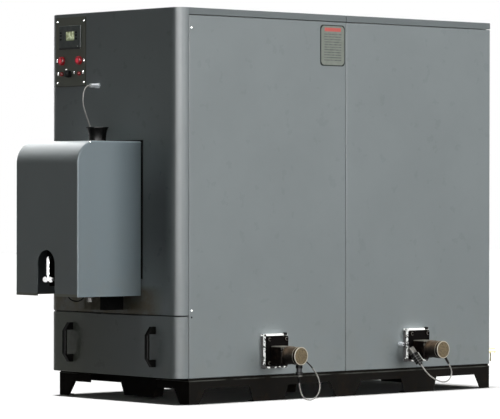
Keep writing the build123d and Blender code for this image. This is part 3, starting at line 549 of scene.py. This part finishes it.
def cable_sheath():
    """Pale grubby sheath, black below the front gearmotor and between gland and in-line plug."""
    pale = (0.4, 0.39, 0.36)
    shader = Shader("cable_grey", roughness=0.42, Specular_IOR_Level=0.2)
    braid = shader.mix(shader.patches(45, 4, 0.4, 0.7), pale, tint(pale, 0.75))
    black = shader.largest(
        shader.fall(shader.distance(FRONT_CABLE_START), 0.052, 0.062),
        shader.fall(shader.distance(PANEL_LEAD_MIDDLE), 0.05, 0.055),
    )
    shader.set("Base Color", shader.mix(black, braid, (0.005, 0.005, 0.005)))
    shader.bump(shader.noise(1, 2, stretch=(700, 700, 260)), 0.0002, 0.5)
    return shader.material


def lamp_red():
    """Red translucent mouldings: the two large ones glow as lit lamps, the two small ones are off
    but given a faint painted glow.
    """
    large_lamps = ((-0.4115, 1.755), (-0.2665, 1.755))
    between_rows = 1.715
    shader = Shader("lamp_red", roughness=0.35, Specular_IOR_Level=0.12)
    large_row = shader.ramp(shader.axis("Z"), between_rows - 0.003, between_rows + 0.003)
    lamp_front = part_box("indicator_lamps")[0].y
    heart = shader.largest(*(
        shader.fall(shader.distance((x, lamp_front, z)), 0.008, 0.018) for x, z in large_lamps
    ))
    lens = shader.mix(heart, (0.2, 0.006, 0.01), (0.6, 0.02, 0.035))
    glow = shader.mix(heart, (0.09, 0.003, 0.005), (0.62, 0.035, 0.06))
    shader.set("Base Color", shader.mix(large_row, (0.3, 0.02, 0.02), lens))
    # The small lamps' faint emission is a painted glow
    shader.set("Emission Color", shader.mix(large_row, (0.05, 0.006, 0.006), glow))
    shader.set("Emission Strength", 0.6)
    shader.bump(shader.cells(420), 0.0004, 0.25)
    return shader.material


def screen():
    """Backlit display glass, pale yellow-green, uneven, dark along its top, left and bottom."""
    shader = Shader("screen", (0.04, 0.045, 0.035), 0.25, Specular_IOR_Level=0.2)
    low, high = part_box("display_screen")
    height = shader.axis("Z")
    pale = shader.mix(shader.patches(55, 3, 0.42, 0.6), (0.5, 0.55, 0.36), (0.16, 0.18, 0.09))
    glow = shader.mix(shader.ramp(height, low.z, low.z + 0.02), (0.08, 0.1, 0.045), pale)
    top = shader.ramp(height, high.z - 0.0065, high.z - 0.0045)
    left = shader.fall(shader.axis("X"), low.x + 0.004, low.x + 0.006)
    edged = shader.mix(shader.largest(top, left), glow, (0.012, 0.014, 0.01))
    shader.set("Emission Color", edged)
    shader.set("Emission Strength", 0.95)
    shader.bump(shader.noise(500, 2), 0.00005, 0.2)
    return shader.material


def motor_paint(unit):
    """Brown-black lacquer with a painted highlight along its top, and a bronze-speckled end cap."""
    shader = Shader(f"motor_paint_{unit}", roughness=0.36, Specular_IOR_Level=0.12)
    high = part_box(f"motor_{unit}")[1]
    lit = shader.mix(
        shader.patches(35, 5, 0.4, 0.7), (0.075, 0.052, 0.033), (0.16, 0.112, 0.072),
    )
    # Lighter towards the top: painted highlight
    upper = shader.ramp(shader.axis("Z"), high.z - 0.068, high.z - 0.012)
    lacquer_and_top_light = shader.mix(upper, (0.006, 0.004, 0.003), lit)
    speckle = shader.ramp(shader.cells(150), 0.1, 0.5)
    bronze = shader.mix(speckle, (0.04, 0.028, 0.014), (0.185, 0.14, 0.074))
    cap = shader.ramp(shader.axis("X"), high.x - 0.0026, high.x - 0.0018)
    shader.set("Base Color", shader.mix(cap, lacquer_and_top_light, bronze))
    shader.set("Roughness", shader.ramp(cap, 0.0, 1.0, 0.34, 0.6))
    shader.bump(shader.noise(220, 4), 0.0003, 0.35)
    return shader.material


def funnel_black():
    """Glossy black moulding, a little uneven."""
    shader = Shader("funnel_black", (0.003, 0.003, 0.003), 0.25, Specular_IOR_Level=0.06)
    shader.set("Roughness", shader.patches(25, 4, 0.3, 0.7, 0.2, 0.3))
    shader.bump(shader.noise(60, 3), 0.0003, 0.2)
    return shader.material


def service_paint():
    """Plain plate: dark rounded border, grey-green face, red band across the top, thin rules."""
    border = 0.0055
    corner = 0.022
    rule_pitch = 0.0135
    shader = Shader("plate_grey", roughness=0.4, Specular_IOR_Level=0.05)
    low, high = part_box("service_plate")
    middle = (low + high) / 2
    across = shader.axis("Y")
    height = shader.axis("Z")
    past = []
    for value, centre, half in (
        (across, middle.y, middle.y - low.y),
        (height, middle.z, middle.z - low.z),
    ):
        away = shader.math("ABSOLUTE", shader.math("SUBTRACT", value, centre))
        beyond = shader.largest(shader.math("SUBTRACT", away, half - border - corner), 0.0)
        past.append(shader.product(beyond, beyond))
    reach = shader.math("SQRT", shader.math("ADD", *past))
    inside = shader.fall(reach, corner - 0.0006, corner + 0.0006)
    band = shader.product(
        shader.between(height, high.z - 0.034, high.z - 0.015, 0.0012),
        shader.between(across, low.y + 0.03, high.y - 0.029, 0.003),
    )
    row = shader.math("FRACT", shader.product(height, 1 / rule_pitch))
    rules = shader.product(shader.between(row, 0.3, 0.72, 0.08), shader.product(
        shader.between(across, low.y + 0.027, high.y - 0.026, 0.002),
        shader.between(height, low.z + 0.022, high.z - 0.045, 0.0006),
    ))
    worn_rules = shader.product(rules, shader.patches(45, 3, 0.3, 0.65, 0.35, 0.8))
    face = shader.mix(
        shader.patches(30, 4, 0.3, 0.7), (0.215, 0.235, 0.205), (0.245, 0.265, 0.235),
    )
    ruled = shader.mix(worn_rules, face, (0.1, 0.118, 0.11))
    banded = shader.mix(band, ruled, (0.58, 0.13, 0.115))
    shader.set("Base Color", shader.mix(inside, (0.026, 0.034, 0.03), banded))
    shader.bump(shader.noise(300, 2), 0.0001, 0.2)
    return shader.material


MATERIALS = {
    "case_paint": case_paint(),
    "base_paint": base_paint(),
    "dark_steel": dark_steel("dark_steel"),
    "inner_steel": inner_steel(),
    "handle_black": plastic("handle_black", (0.004, 0.004, 0.0036), 0.36, shine=0.02),
    "display_black": display_plastic(),
    "screen": screen(),
    "lamp_red": lamp_red(),
    "bright_steel": bright_metal("bright_steel", (0.62, 0.62, 0.6), 0.34),
    "chrome": bright_metal("chrome", (0.86, 0.86, 0.86), 0.1, dirt=0.05),
    "funnel_black": funnel_black(),
    "cable_grey": cable_sheath(),
    "gland_white": gland_nickel(),
    "plug_black": plastic("plug_black", (0.006, 0.006, 0.006), 0.4, shine=0.02),
    "pipe_steel": dark_steel("pipe_steel"),
    "flue_steel": bright_metal("flue_steel", (0.5, 0.5, 0.49), 0.3, streak=(60, 4, 60)),
    "brass": bright_metal("brass", (0.86, 0.78, 0.52), 0.35, dirt=0.3),
    "plate_grey": service_paint(),
}
PIECE_SLOTS = {row["node"]: row["material_slot"] for row in frame["record"]["subparts"]}
OWN_FINISH = {
    "burner_cover": cover_paint(),
    "front_panel": front_paint(),
    "control_plate": plate_paint(),
    "roof_front": roof_paint(),
    "ash_drawer_front": drawer_paint(),
    "motor_plug_front": plug_moulding(),
    "inline_plug_rear": inline_moulding(),
    "burner_union": plastic("dull_union", (0.11, 0.105, 0.09), 0.4, shine=0.3),
    "probe_glands": plastic("dull_glands", (0.11, 0.105, 0.09), 0.4, shine=0.3),
    "ash_throat": throat_paint(),
}
OWN_FINISH["roof_rear"] = OWN_FINISH["roof_front"]
for unit in UNITS:
    OWN_FINISH[f"motor_{unit}"] = motor_paint(unit)
    OWN_FINISH[f"gearbox_{unit}"] = gear_case_paint(unit)
    OWN_FINISH[f"auger_bracket_{unit}"] = bracket_zinc(unit)

for node_name, node_object in nodes.items():
    finish_material = OWN_FINISH.get(node_name) or MATERIALS[PIECE_SLOTS[node_name]]
    node_object.data.materials.clear()
    node_object.data.materials.append(finish_material)


# Pieces added to the CAD


def mesh_data(name, made, sharp_degrees=None):
    """The built mesh as data, smooth except at sharp edges, or flat where no angle is given."""
    bmesh.ops.recalc_face_normals(made, faces=made.faces)
    for face in made.faces:
        face.smooth = sharp_degrees is not None
    data = bpy.data.meshes.new(name)
    made.to_mesh(data)
    made.free()
    if sharp_degrees is not None:
        data.set_sharp_from_angle(angle=math.radians(sharp_degrees))
    return data


def add_piece(data, slot_name, material=None):
    """Link a finished mesh as a piece that rides on the casing."""
    piece = new_object(data.name, data)
    data.materials.append(material or MATERIALS[slot_name])
    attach(piece, "casing")
    return piece


def lathe(name, profile, place, axis, slot_name, material=None, steps=28):
    """A turned piece: profile is (radius, height) pairs, turned round axis through place."""
    made = bmesh.new()
    turn = Vector(UP).rotation_difference(Vector(axis)).to_matrix()
    rings = []
    for radius, height in profile:
        ring = []
        for step in range(steps if radius else 1):
            angle = 2 * math.pi * step / steps
            spot = Vector((radius * math.cos(angle), radius * math.sin(angle), height))
            ring.append(made.verts.new(turn @ spot + Vector(place)))
        rings.append(ring)
    for one, two in zip(rings, rings[1:]):
        for step in range(steps):
            after = (step + 1) % steps
            corners = [
                one[step % len(one)], one[after % len(one)],
                two[after % len(two)], two[step % len(two)],
            ]
            corners = list(dict.fromkeys(corners))
            if len(corners) > 2:
                made.faces.new(corners)
    return add_piece(mesh_data(name, made, 38), slot_name, material)


def slab(name, low, high, rounding, slot_name, material=None):
    """A small block with rounded edges."""
    made = bmesh.new()
    bmesh.ops.create_cube(made, size=1)
    for vert in made.verts:
        shares = [share + 0.5 for share in vert.co]
        vert.co = Vector(one + (two - one) * share for one, two, share in zip(low, high, shares))
    bmesh.ops.bevel(
        made, geom=made.edges[:], offset=rounding, segments=3, profile=0.5, affect="EDGES",
    )
    return add_piece(mesh_data(name, made, 50), slot_name, material)


def screw(name, place, axis, radius, slot_name="chrome"):
    """A domed screw head with a round socket."""
    dome = radius * 0.55
    profile = [
        (radius, 0), (radius, dome * 0.35), (radius * 0.86, dome * 0.8), (radius * 0.6, dome),
        (radius * 0.42, dome), (radius * 0.36, dome * 0.3), (0, dome * 0.3),
    ]
    return lathe(name, profile, place, axis, slot_name, steps=20)


# Cords: the routes are the CAD tubes' own points


def cord_piece(name, node, route, diameter,
               slot_name="cable_grey"):
    """A cord on one smooth spline with the route's points, standing for its CAD tube."""
    curve = bpy.data.curves.new(name, "CURVE")
    curve.dimensions = "3D"
    curve.bevel_depth = diameter / 2
    curve.bevel_resolution = 5
    curve.resolution_u = 10
    curve.use_fill_caps = True
    spline = curve.splines.new("NURBS")
    spline.points.add(len(route) - 1)
    for point, place in zip(spline.points, route):
        point.co = (*place, 1)
    spline.order_u = 3
    spline.use_endpoint_u = True
    piece = new_object(name, curve)
    curve.materials.append(MATERIALS[slot_name])
    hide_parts(node)
    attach(piece, "casing")


sensor_route = [
    (-0.109, -1.207, 1.619), (-0.109, -1.225, 1.619), (-0.109, -1.240, 1.606),
    (-0.109, -1.250, 1.584), (-0.109, -1.255, 1.556), (-0.110, -1.254, 1.526),
    (-0.110, -1.246, 1.498), (-0.110, -1.233, 1.464), (-0.110, -1.217, 1.432),
    (-0.109, -1.207, 1.400), (-0.109, -1.205, 1.370), (-0.109, -1.205, 1.328),
]
cord_piece("sensor_lead", "sensor_cable", sensor_route, 0.007)

front_route = [
    (0.737, -0.47321, 0.20838), (0.737, -0.45116, 0.19461), (0.738, -0.421, 0.167),
    (0.740, -0.395, 0.133), (0.742, -0.379, 0.092), (0.743, -0.384, 0.052),
    (0.743, -0.409, 0.020), (0.742, -0.446, 0.0075), (0.740, -0.484, 0.017),
    (0.738, -0.508, 0.046), (0.737, -0.519, 0.094), (0.737, -0.519, 0.132),
]
washer_material = plastic("washer_steel", (0.24, 0.23, 0.21), 0.4, shine=0.1)

# Rings and strain relief on the front plug: radius and height pairs, heights from the floor
PLUG_PARTS = {
    "collar": ("plug_black", [
        (0.0150, 0.1905), (0.0172, 0.1895), (0.0176, 0.1750), (0.0150, 0.1742),
    ]),
    "nut": ("plug_black", [
        (0.0145, 0.1560), (0.0180, 0.1550), (0.0180, 0.1415), (0.0140, 0.1405),
    ]),
    "ring": ("bright_steel", [
        (0.0130, 0.1386), (0.0158, 0.1378), (0.0158, 0.1334), (0.0100, 0.1326),
    ]),
    "relief": ("plug_black", [
        (0.0090, 0.1316), (0.0088, 0.1240), (0.0066, 0.1225), (0.0064, 0.1180), (0.0058, 0.1170),
        (0.0060, 0.1110), (0.0052, 0.1100), (0.0054, 0.1040), (0.0042, 0.0990), (0.0036, 0.0985),
    ]),
}
plug_x, plug_y, _ = front_route[-1]
for part, (part_slot, part_profile) in PLUG_PARTS.items():
    part_material = washer_material if part == "ring" else None
    lathe(
        f"front_plug_{part}", part_profile, (plug_x, plug_y, 0), UP, part_slot, part_material,
    )
cord_piece("front_motor_lead", "motor_cable_front", front_route, 0.007)

# Pale rod along the outer upper edge of the in-line plug's body: a painted highlight
GLINT_ROD_START = 0.040
GLINT_ROD_LENGTH = 0.054
GLINT_ROD_RADIUS = 0.0024
GLINT_ROD_ROUNDING = 0.001
GLINT_ROD_OUT = 0.0212
GLINT_ROD_UP = 0.0115
plug_side = (Vector((0, 1, 0)) - INLINE_AXIS * INLINE_AXIS.y).normalized()
plug_face = INLINE_AXIS.cross(plug_side)
glint_rod_end = INLINE_START + INLINE_AXIS * GLINT_ROD_START
glint_rod_profile = [
    (0, 0), (GLINT_ROD_RADIUS * 0.7, 0), (GLINT_ROD_RADIUS, GLINT_ROD_ROUNDING),
    (GLINT_ROD_RADIUS, GLINT_ROD_LENGTH - GLINT_ROD_ROUNDING), (GLINT_ROD_RADIUS * 0.7, GLINT_ROD_LENGTH),
    (0, GLINT_ROD_LENGTH),
]
glint_rod = lathe(
    "inline_glint_rod", glint_rod_profile, glint_rod_end + plug_side * GLINT_ROD_OUT + plug_face * GLINT_ROD_UP,
    INLINE_AXIS, "gland_white", plastic("glint_rod_white", (0.6, 0.6, 0.57), 0.4, shine=0.3),
)
panel_route = [
    (0.556, 0.394, 0.262), (0.574, 0.394, 0.262), (0.59082, 0.39807, 0.25668),
    (0.600, 0.403, 0.242),
]
cord_piece("panel_lead", "panel_lead_rear", panel_route, 0.006)

rear_route = [
    (0.65454, 0.43230, 0.15473), (0.66474, 0.43778, 0.13842), (0.680, 0.454, 0.108),
    (0.698, 0.481, 0.082), (0.713, 0.513, 0.066), (0.728, 0.543, 0.061),
    (0.736, 0.570, 0.080), (0.737, 0.580, 0.112), (0.735, 0.57101, 0.14276),
    (0.735, 0.55717, 0.16113),
]
cord_piece("rear_motor_lead", "motor_cable_rear", rear_route, 0.007)

probe_route = [
    (-0.060, -1.390, 0.554), (-0.060, -1.390, 0.540), (-0.060, -1.375, 0.523),
    (-0.060, -1.352, 0.513), (-0.060, -1.318, 0.511), (-0.060, -1.295, 0.521),
    (-0.060, -1.280, 0.540), (-0.060, -1.280, 0.554),
]
cord_piece("burner_probe_lead", "probe_lead", probe_route, 0.006,
           slot_name="plug_black")


# Screws, marks and keys on the control plate
PLATE_SCREW_RADIUS = 0.005
plate_low, plate_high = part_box("control_plate")
screw_columns = (plate_low.x + 0.0135, plate_high.x - 0.018)
screw_rows = (plate_low.z + 0.022, plate_high.z - 0.022)
for column, x in enumerate(screw_columns):
    for row, z in enumerate(screw_rows):
        screw(f"plate_screw_{column}{row}", (x, plate_low.y, z), FRONT, PLATE_SCREW_RADIUS)


def front_slab(name, x, z, width, height, face_y, thickness, rounding, slot_name, material=None):
    """A slab standing out to the front from face_y, with its middle at x and z."""
    low = (x - width / 2, face_y - thickness, z - height / 2)
    high = (x + width / 2, face_y, z + height / 2)
    slab(name, low, high, rounding, slot_name, material)


# Small thin chrome slabs on the control plate: middle x and z, width and height
MARK_THICKNESS = 0.0008
MARK_ROUNDING = 0.0003
MARKS = [
    (-0.4545, 1.757, 0.009, 0.016), (-0.2315, 1.755, 0.009, 0.017), (-0.4460, 1.689, 0.011, 0.015),
    (-0.2380, 1.694, 0.008, 0.018), (-0.3790, 1.7105, 0.013, 0.005), (-0.3130, 1.693, 0.007, 0.014),
]
for number, mark in enumerate(MARKS):
    front_slab(f"plate_mark_{number}", *mark, plate_low.y, MARK_THICKNESS, MARK_ROUNDING, "chrome")

# Six keys beside the screen, and a small light below them
KEY_SIZE = (0.016, 0.009)
KEY_THICKNESS = 0.0015
KEY_ROUNDING = 0.0012
KEY_COLUMNS = (-0.418, -0.289)
KEY_ROWS = (1.902, 1.887, 1.868)
LIGHT_DOME = [(0.0025, 0), (0.0025, 0.001), (0.0015, 0.0018), (0, 0.002)]
display_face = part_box("display_unit")[0].y
key_material = plastic("display_keys", (0.012, 0.013, 0.013), 0.45)
for column, x in enumerate(KEY_COLUMNS):
    for row, z in enumerate(KEY_ROWS):
        front_slab(f"display_key_{column}{row}", x, z, *KEY_SIZE, display_face, KEY_THICKNESS,
                   KEY_ROUNDING, "display_black", key_material)
lathe("display_light", LIGHT_DOME, (-0.2765, display_face, 1.829), FRONT, "gland_white")

# Screw at the top of the burner cover's right side
cover_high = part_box("burner_cover")[1]
screw("cover_screw", (cover_high.x, -1.488, cover_high.z - 0.006), RIGHT, 0.004)

# Screw heads on the right side panel, and the empty hole below the lower one
SIDE_FACE = 0.5285
SIDE_SCREW_RADIUS = 0.0055
HOLE = [(0.0048, 0.0003), (0.0042, 0.0006), (0, 0.0006)]
for row, (y, z) in enumerate(((-1.063, 1.898), (-1.060, 0.474))):
    screw(f"side_screw_{row}", (SIDE_FACE, y, z), RIGHT, SIDE_SCREW_RADIUS, "bright_steel")
lathe("side_hole", HOLE, (SIDE_FACE, -1.060, 0.441), RIGHT, "dark_steel")

# Black seal in the joint over the ash drawer, following the front panel's rounded corners
SEAL_HEIGHT = 0.0035
SEAL_INSET = 0.007
SEAL_TAPER = 0.001
PANEL_CORNER = 0.062
CORNER_STEPS = 8
panel_low, panel_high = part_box("front_panel")
seal_radius = PANEL_CORNER - SEAL_INSET
right_corner = []
for step in range(CORNER_STEPS + 1):
    angle = math.pi / 2 * step / CORNER_STEPS
    right_corner.append((
        panel_high.x - PANEL_CORNER + seal_radius * math.cos(angle),
        panel_low.y + PANEL_CORNER - seal_radius * math.sin(angle),
    ))
back_x = panel_high.x - SEAL_INSET - SEAL_TAPER
seal_outline = right_corner + [(-x, y) for x, y in reversed(right_corner)]
seal_outline += [(-back_x, panel_high.y), (back_x, panel_high.y)]
seal_mesh = bmesh.new()
rings = [
    [seal_mesh.verts.new((x, y, z)) for x, y in seal_outline]
    for z in (panel_low.z - SEAL_HEIGHT, panel_low.z)
]
for ring in rings:
    seal_mesh.faces.new(ring)
for step in range(len(seal_outline)):
    after = (step + 1) % len(seal_outline)
    seal_mesh.faces.new((rings[0][step], rings[0][after], rings[1][after], rings[1][step]))
add_piece(mesh_data("drawer_seal", seal_mesh), "handle_black")

# Bolts on the gear flanges, rims and bands on the motors' end bells coloured pale as a painted
# highlight, and rubber caps on the brackets
FLANGE_BOSS_Y = 0.058
FLANGE_BOSS_Z = 0.0615
FLANGE_BOSS_FACE = 0.014
MOTOR_RADIUS = 0.046
CAP_FROM_LIP = 0.004
CAP_ASIDE = 0.061
CORNERS = {
    "left_top": (-1, 1), "right_top": (1, 1), "left_bottom": (-1, -1), "right_bottom": (1, -1),
}
WASHER = [(0.0066, 0), (0.0066, 0.0012), (0.0084, 0.0012), (0.0089, 0.0006), (0.0089, 0)]
BOLT = [(0.0066, 0.0010), (0.0066, 0.0045), (0.0054, 0.0062), (0.003, 0.0066), (0, 0.0066)]
RIM = [
    (0.0415, -0.0005), (0.0422, 0.0006), (0.0452, 0.0008), (0.0464, 0.0),
    (0.0466, -0.0022), (0.0459, -0.0034),
]
BAND = [(0.0458, -0.0205), (0.0464, -0.0198), (0.0464, -0.0178), (0.0458, -0.0171)]
RUBBER_CAP = [
    (0, -0.008), (0.0125, -0.008), (0.013, 0), (0.0115, 0.0038),
    (0.008, 0.0055), (0.004, 0.006), (0, 0.006),
]
# Pale finish of the motor rims and bands: painted highlight
rim_highlight_material = plastic("motor_rim_highlight", (0.5, 0.45, 0.36), 0.35, pebble=300, shine=0.3)
for unit, unit_y in UNITS.items():
    flange_low, flange_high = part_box(f"gearbox_{unit}")
    middle_z = (flange_low.z + flange_high.z) / 2
    for corner, (across, up) in CORNERS.items():
        spot = (
            flange_low.x + FLANGE_BOSS_FACE,
            unit_y + across * FLANGE_BOSS_Y,
            middle_z + up * FLANGE_BOSS_Z,
        )
        lathe(f"flange_washer_{unit}_{corner}", WASHER, spot, RIGHT, "bright_steel",
              washer_material)
        lathe(f"flange_bolt_{unit}_{corner}", BOLT, spot, RIGHT, "dark_steel", steps=6)
    motor_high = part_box(f"motor_{unit}")[1]
    motor_end = (motor_high.x, unit_y, motor_high.z - MOTOR_RADIUS)
    for part, profile in (("rim", RIM), ("band", BAND)):
        lathe(f"motor_{part}_{unit}", profile, motor_end, RIGHT, "bright_steel", rim_highlight_material,
              steps=56)
    bracket_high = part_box(f"auger_bracket_{unit}")[1]
    cap_place = (bracket_high.x - CAP_FROM_LIP, unit_y + CAP_ASIDE, bracket_high.z)
    lathe(f"bracket_cap_{unit}", RUBBER_CAP, cap_place, UP, "plug_black")


# Floor and world: white to the camera and in reflections, throwing little light on the boiler


def seen_directly(tree):
    """1 where the camera, a reflection or glass looks, 0 for the light thrown on other things."""
    path = tree.nodes.new("ShaderNodeLightPath")
    seen = path.outputs["Is Camera Ray"]
    for ray in ("Is Glossy Ray", "Is Transmission Ray"):
        either = tree.nodes.new("ShaderNodeMath")
        either.operation = "MAXIMUM"
        tree.links.new(seen, either.inputs[0])
        tree.links.new(path.outputs[ray], either.inputs[1])
        seen = either.outputs[0]
    return seen


FLOOR_REACH = 30
floor_shader = Shader("floor", roughness=0.9, Specular_IOR_Level=0.0)
floor_seen = seen_directly(floor_shader.tree)
floor_shader.set("Base Color", floor_shader.mix(floor_seen, (0.1, 0.1, 0.1), (0.97, 0.97, 0.97)))
floor_mesh = bpy.data.meshes.new("floor")
floor_corners = [
    (x * FLOOR_REACH, y * FLOOR_REACH, 0) for x, y in ((-1, -1), (1, -1), (1, 1), (-1, 1))
]
floor_mesh.from_pydata(floor_corners, [], [(0, 1, 2, 3)])
floor_mesh.materials.append(floor_shader.material)
floor = new_object("floor", floor_mesh)

world = bpy.data.worlds.new("world")
world.use_nodes = True
bpy.context.scene.world = world
world_nodes = world.node_tree.nodes
world_links = world.node_tree.links
backdrop = world_nodes.new("ShaderNodeMix")
backdrop.data_type = "RGBA"
backdrop.inputs[6].default_value = (0.05, 0.053, 0.047, 1)
backdrop.inputs[7].default_value = (1, 1, 1, 1)
world_links.new(seen_directly(world.node_tree), backdrop.inputs["Factor"])
world_links.new(backdrop.outputs[2], world_nodes["Background"].inputs["Color"])


# Lights


def sun(name, towards, level, width, gloss_only=False):
    """A soft distant lamp: towards points at it, level is the light on a face turned to it."""
    data = bpy.data.lights.new(name, "SUN")
    data.energy = level * math.pi
    data.angle = math.radians(width)
    lamp = new_object(name, data)
    lamp.rotation_euler = Vector(towards).to_track_quat("Z", "Y").to_euler()
    lamp.visible_diffuse = not gloss_only
    return lamp


def linked(name, members, state="INCLUDE"):
    """A light-linking collection that includes or excludes its members."""
    group = bpy.data.collections.new(name)
    for member in members:
        group.objects.link(member)
    for row in group.collection_objects:
        row.light_linking.link_state = state
    return group


not_floor = linked("all_but_the_floor", [floor], "EXCLUDE")
for lamp in (
    sun("top", (0.0, 0.0, 1.0), 1.08, 22),
    sun("right", (1.0, 0.36, 0.16), 1.04, 46),
    sun("back_left", (-1.0, 0.75, 0.3), 0.45, 50),
    sun("corner_gloss", (0.66, -0.75, 0.02), 7.4, 50, gloss_only=True),
    sun("corner_gloss_side", (0.98, -0.2, 0.02), 3.6, 50, gloss_only=True),
):
    lamp.light_linking.receiver_collection = not_floor

# The rounded top of the burner cover mirrors a pale sky
arc_gloss = sun("arc_gloss", (-0.75, 0.2, 0.6), 2.0, 70, gloss_only=True)
arc_gloss.light_linking.receiver_collection = linked("cover_only", [nodes["burner_cover"]])

# The near walls of the gear brackets catch a side light
bracket_light = sun("bracket_light", (0.6, -0.8, 0.2), 0.9, 20)
brackets = [nodes[f"auger_bracket_{unit}"] for unit in UNITS]
bracket_light.light_linking.receiver_collection = linked("brackets", brackets)

# The floor has its own lamps above, and only the casing and its base shade it
HEAVY = (
    "base_", "casing_floor", "side_panel", "roof_", "rear_panel", "front_panel",
    "ash_drawer_front", "boiler_body",
)
heavy_pieces = [made for name, made in nodes.items() if name.startswith(HEAVY)]
floor_lamp = sun("above_floor", (0.0, -0.03, 1.0), 1.1, 7)
floor_lamp.light_linking.receiver_collection = linked("floor_only", [floor])
floor_lamp.light_linking.blocker_collection = linked("heavy_pieces", heavy_pieces)
floor_fill = sun("floor_fill", (0.0, 0.0, 1.0), 0.0135, 9)
floor_fill.data.use_shadow = False
floor_fill.light_linking.receiver_collection = linked("filled_floor", [floor])

bpy.context.scene.view_settings.view_transform = "Standard"
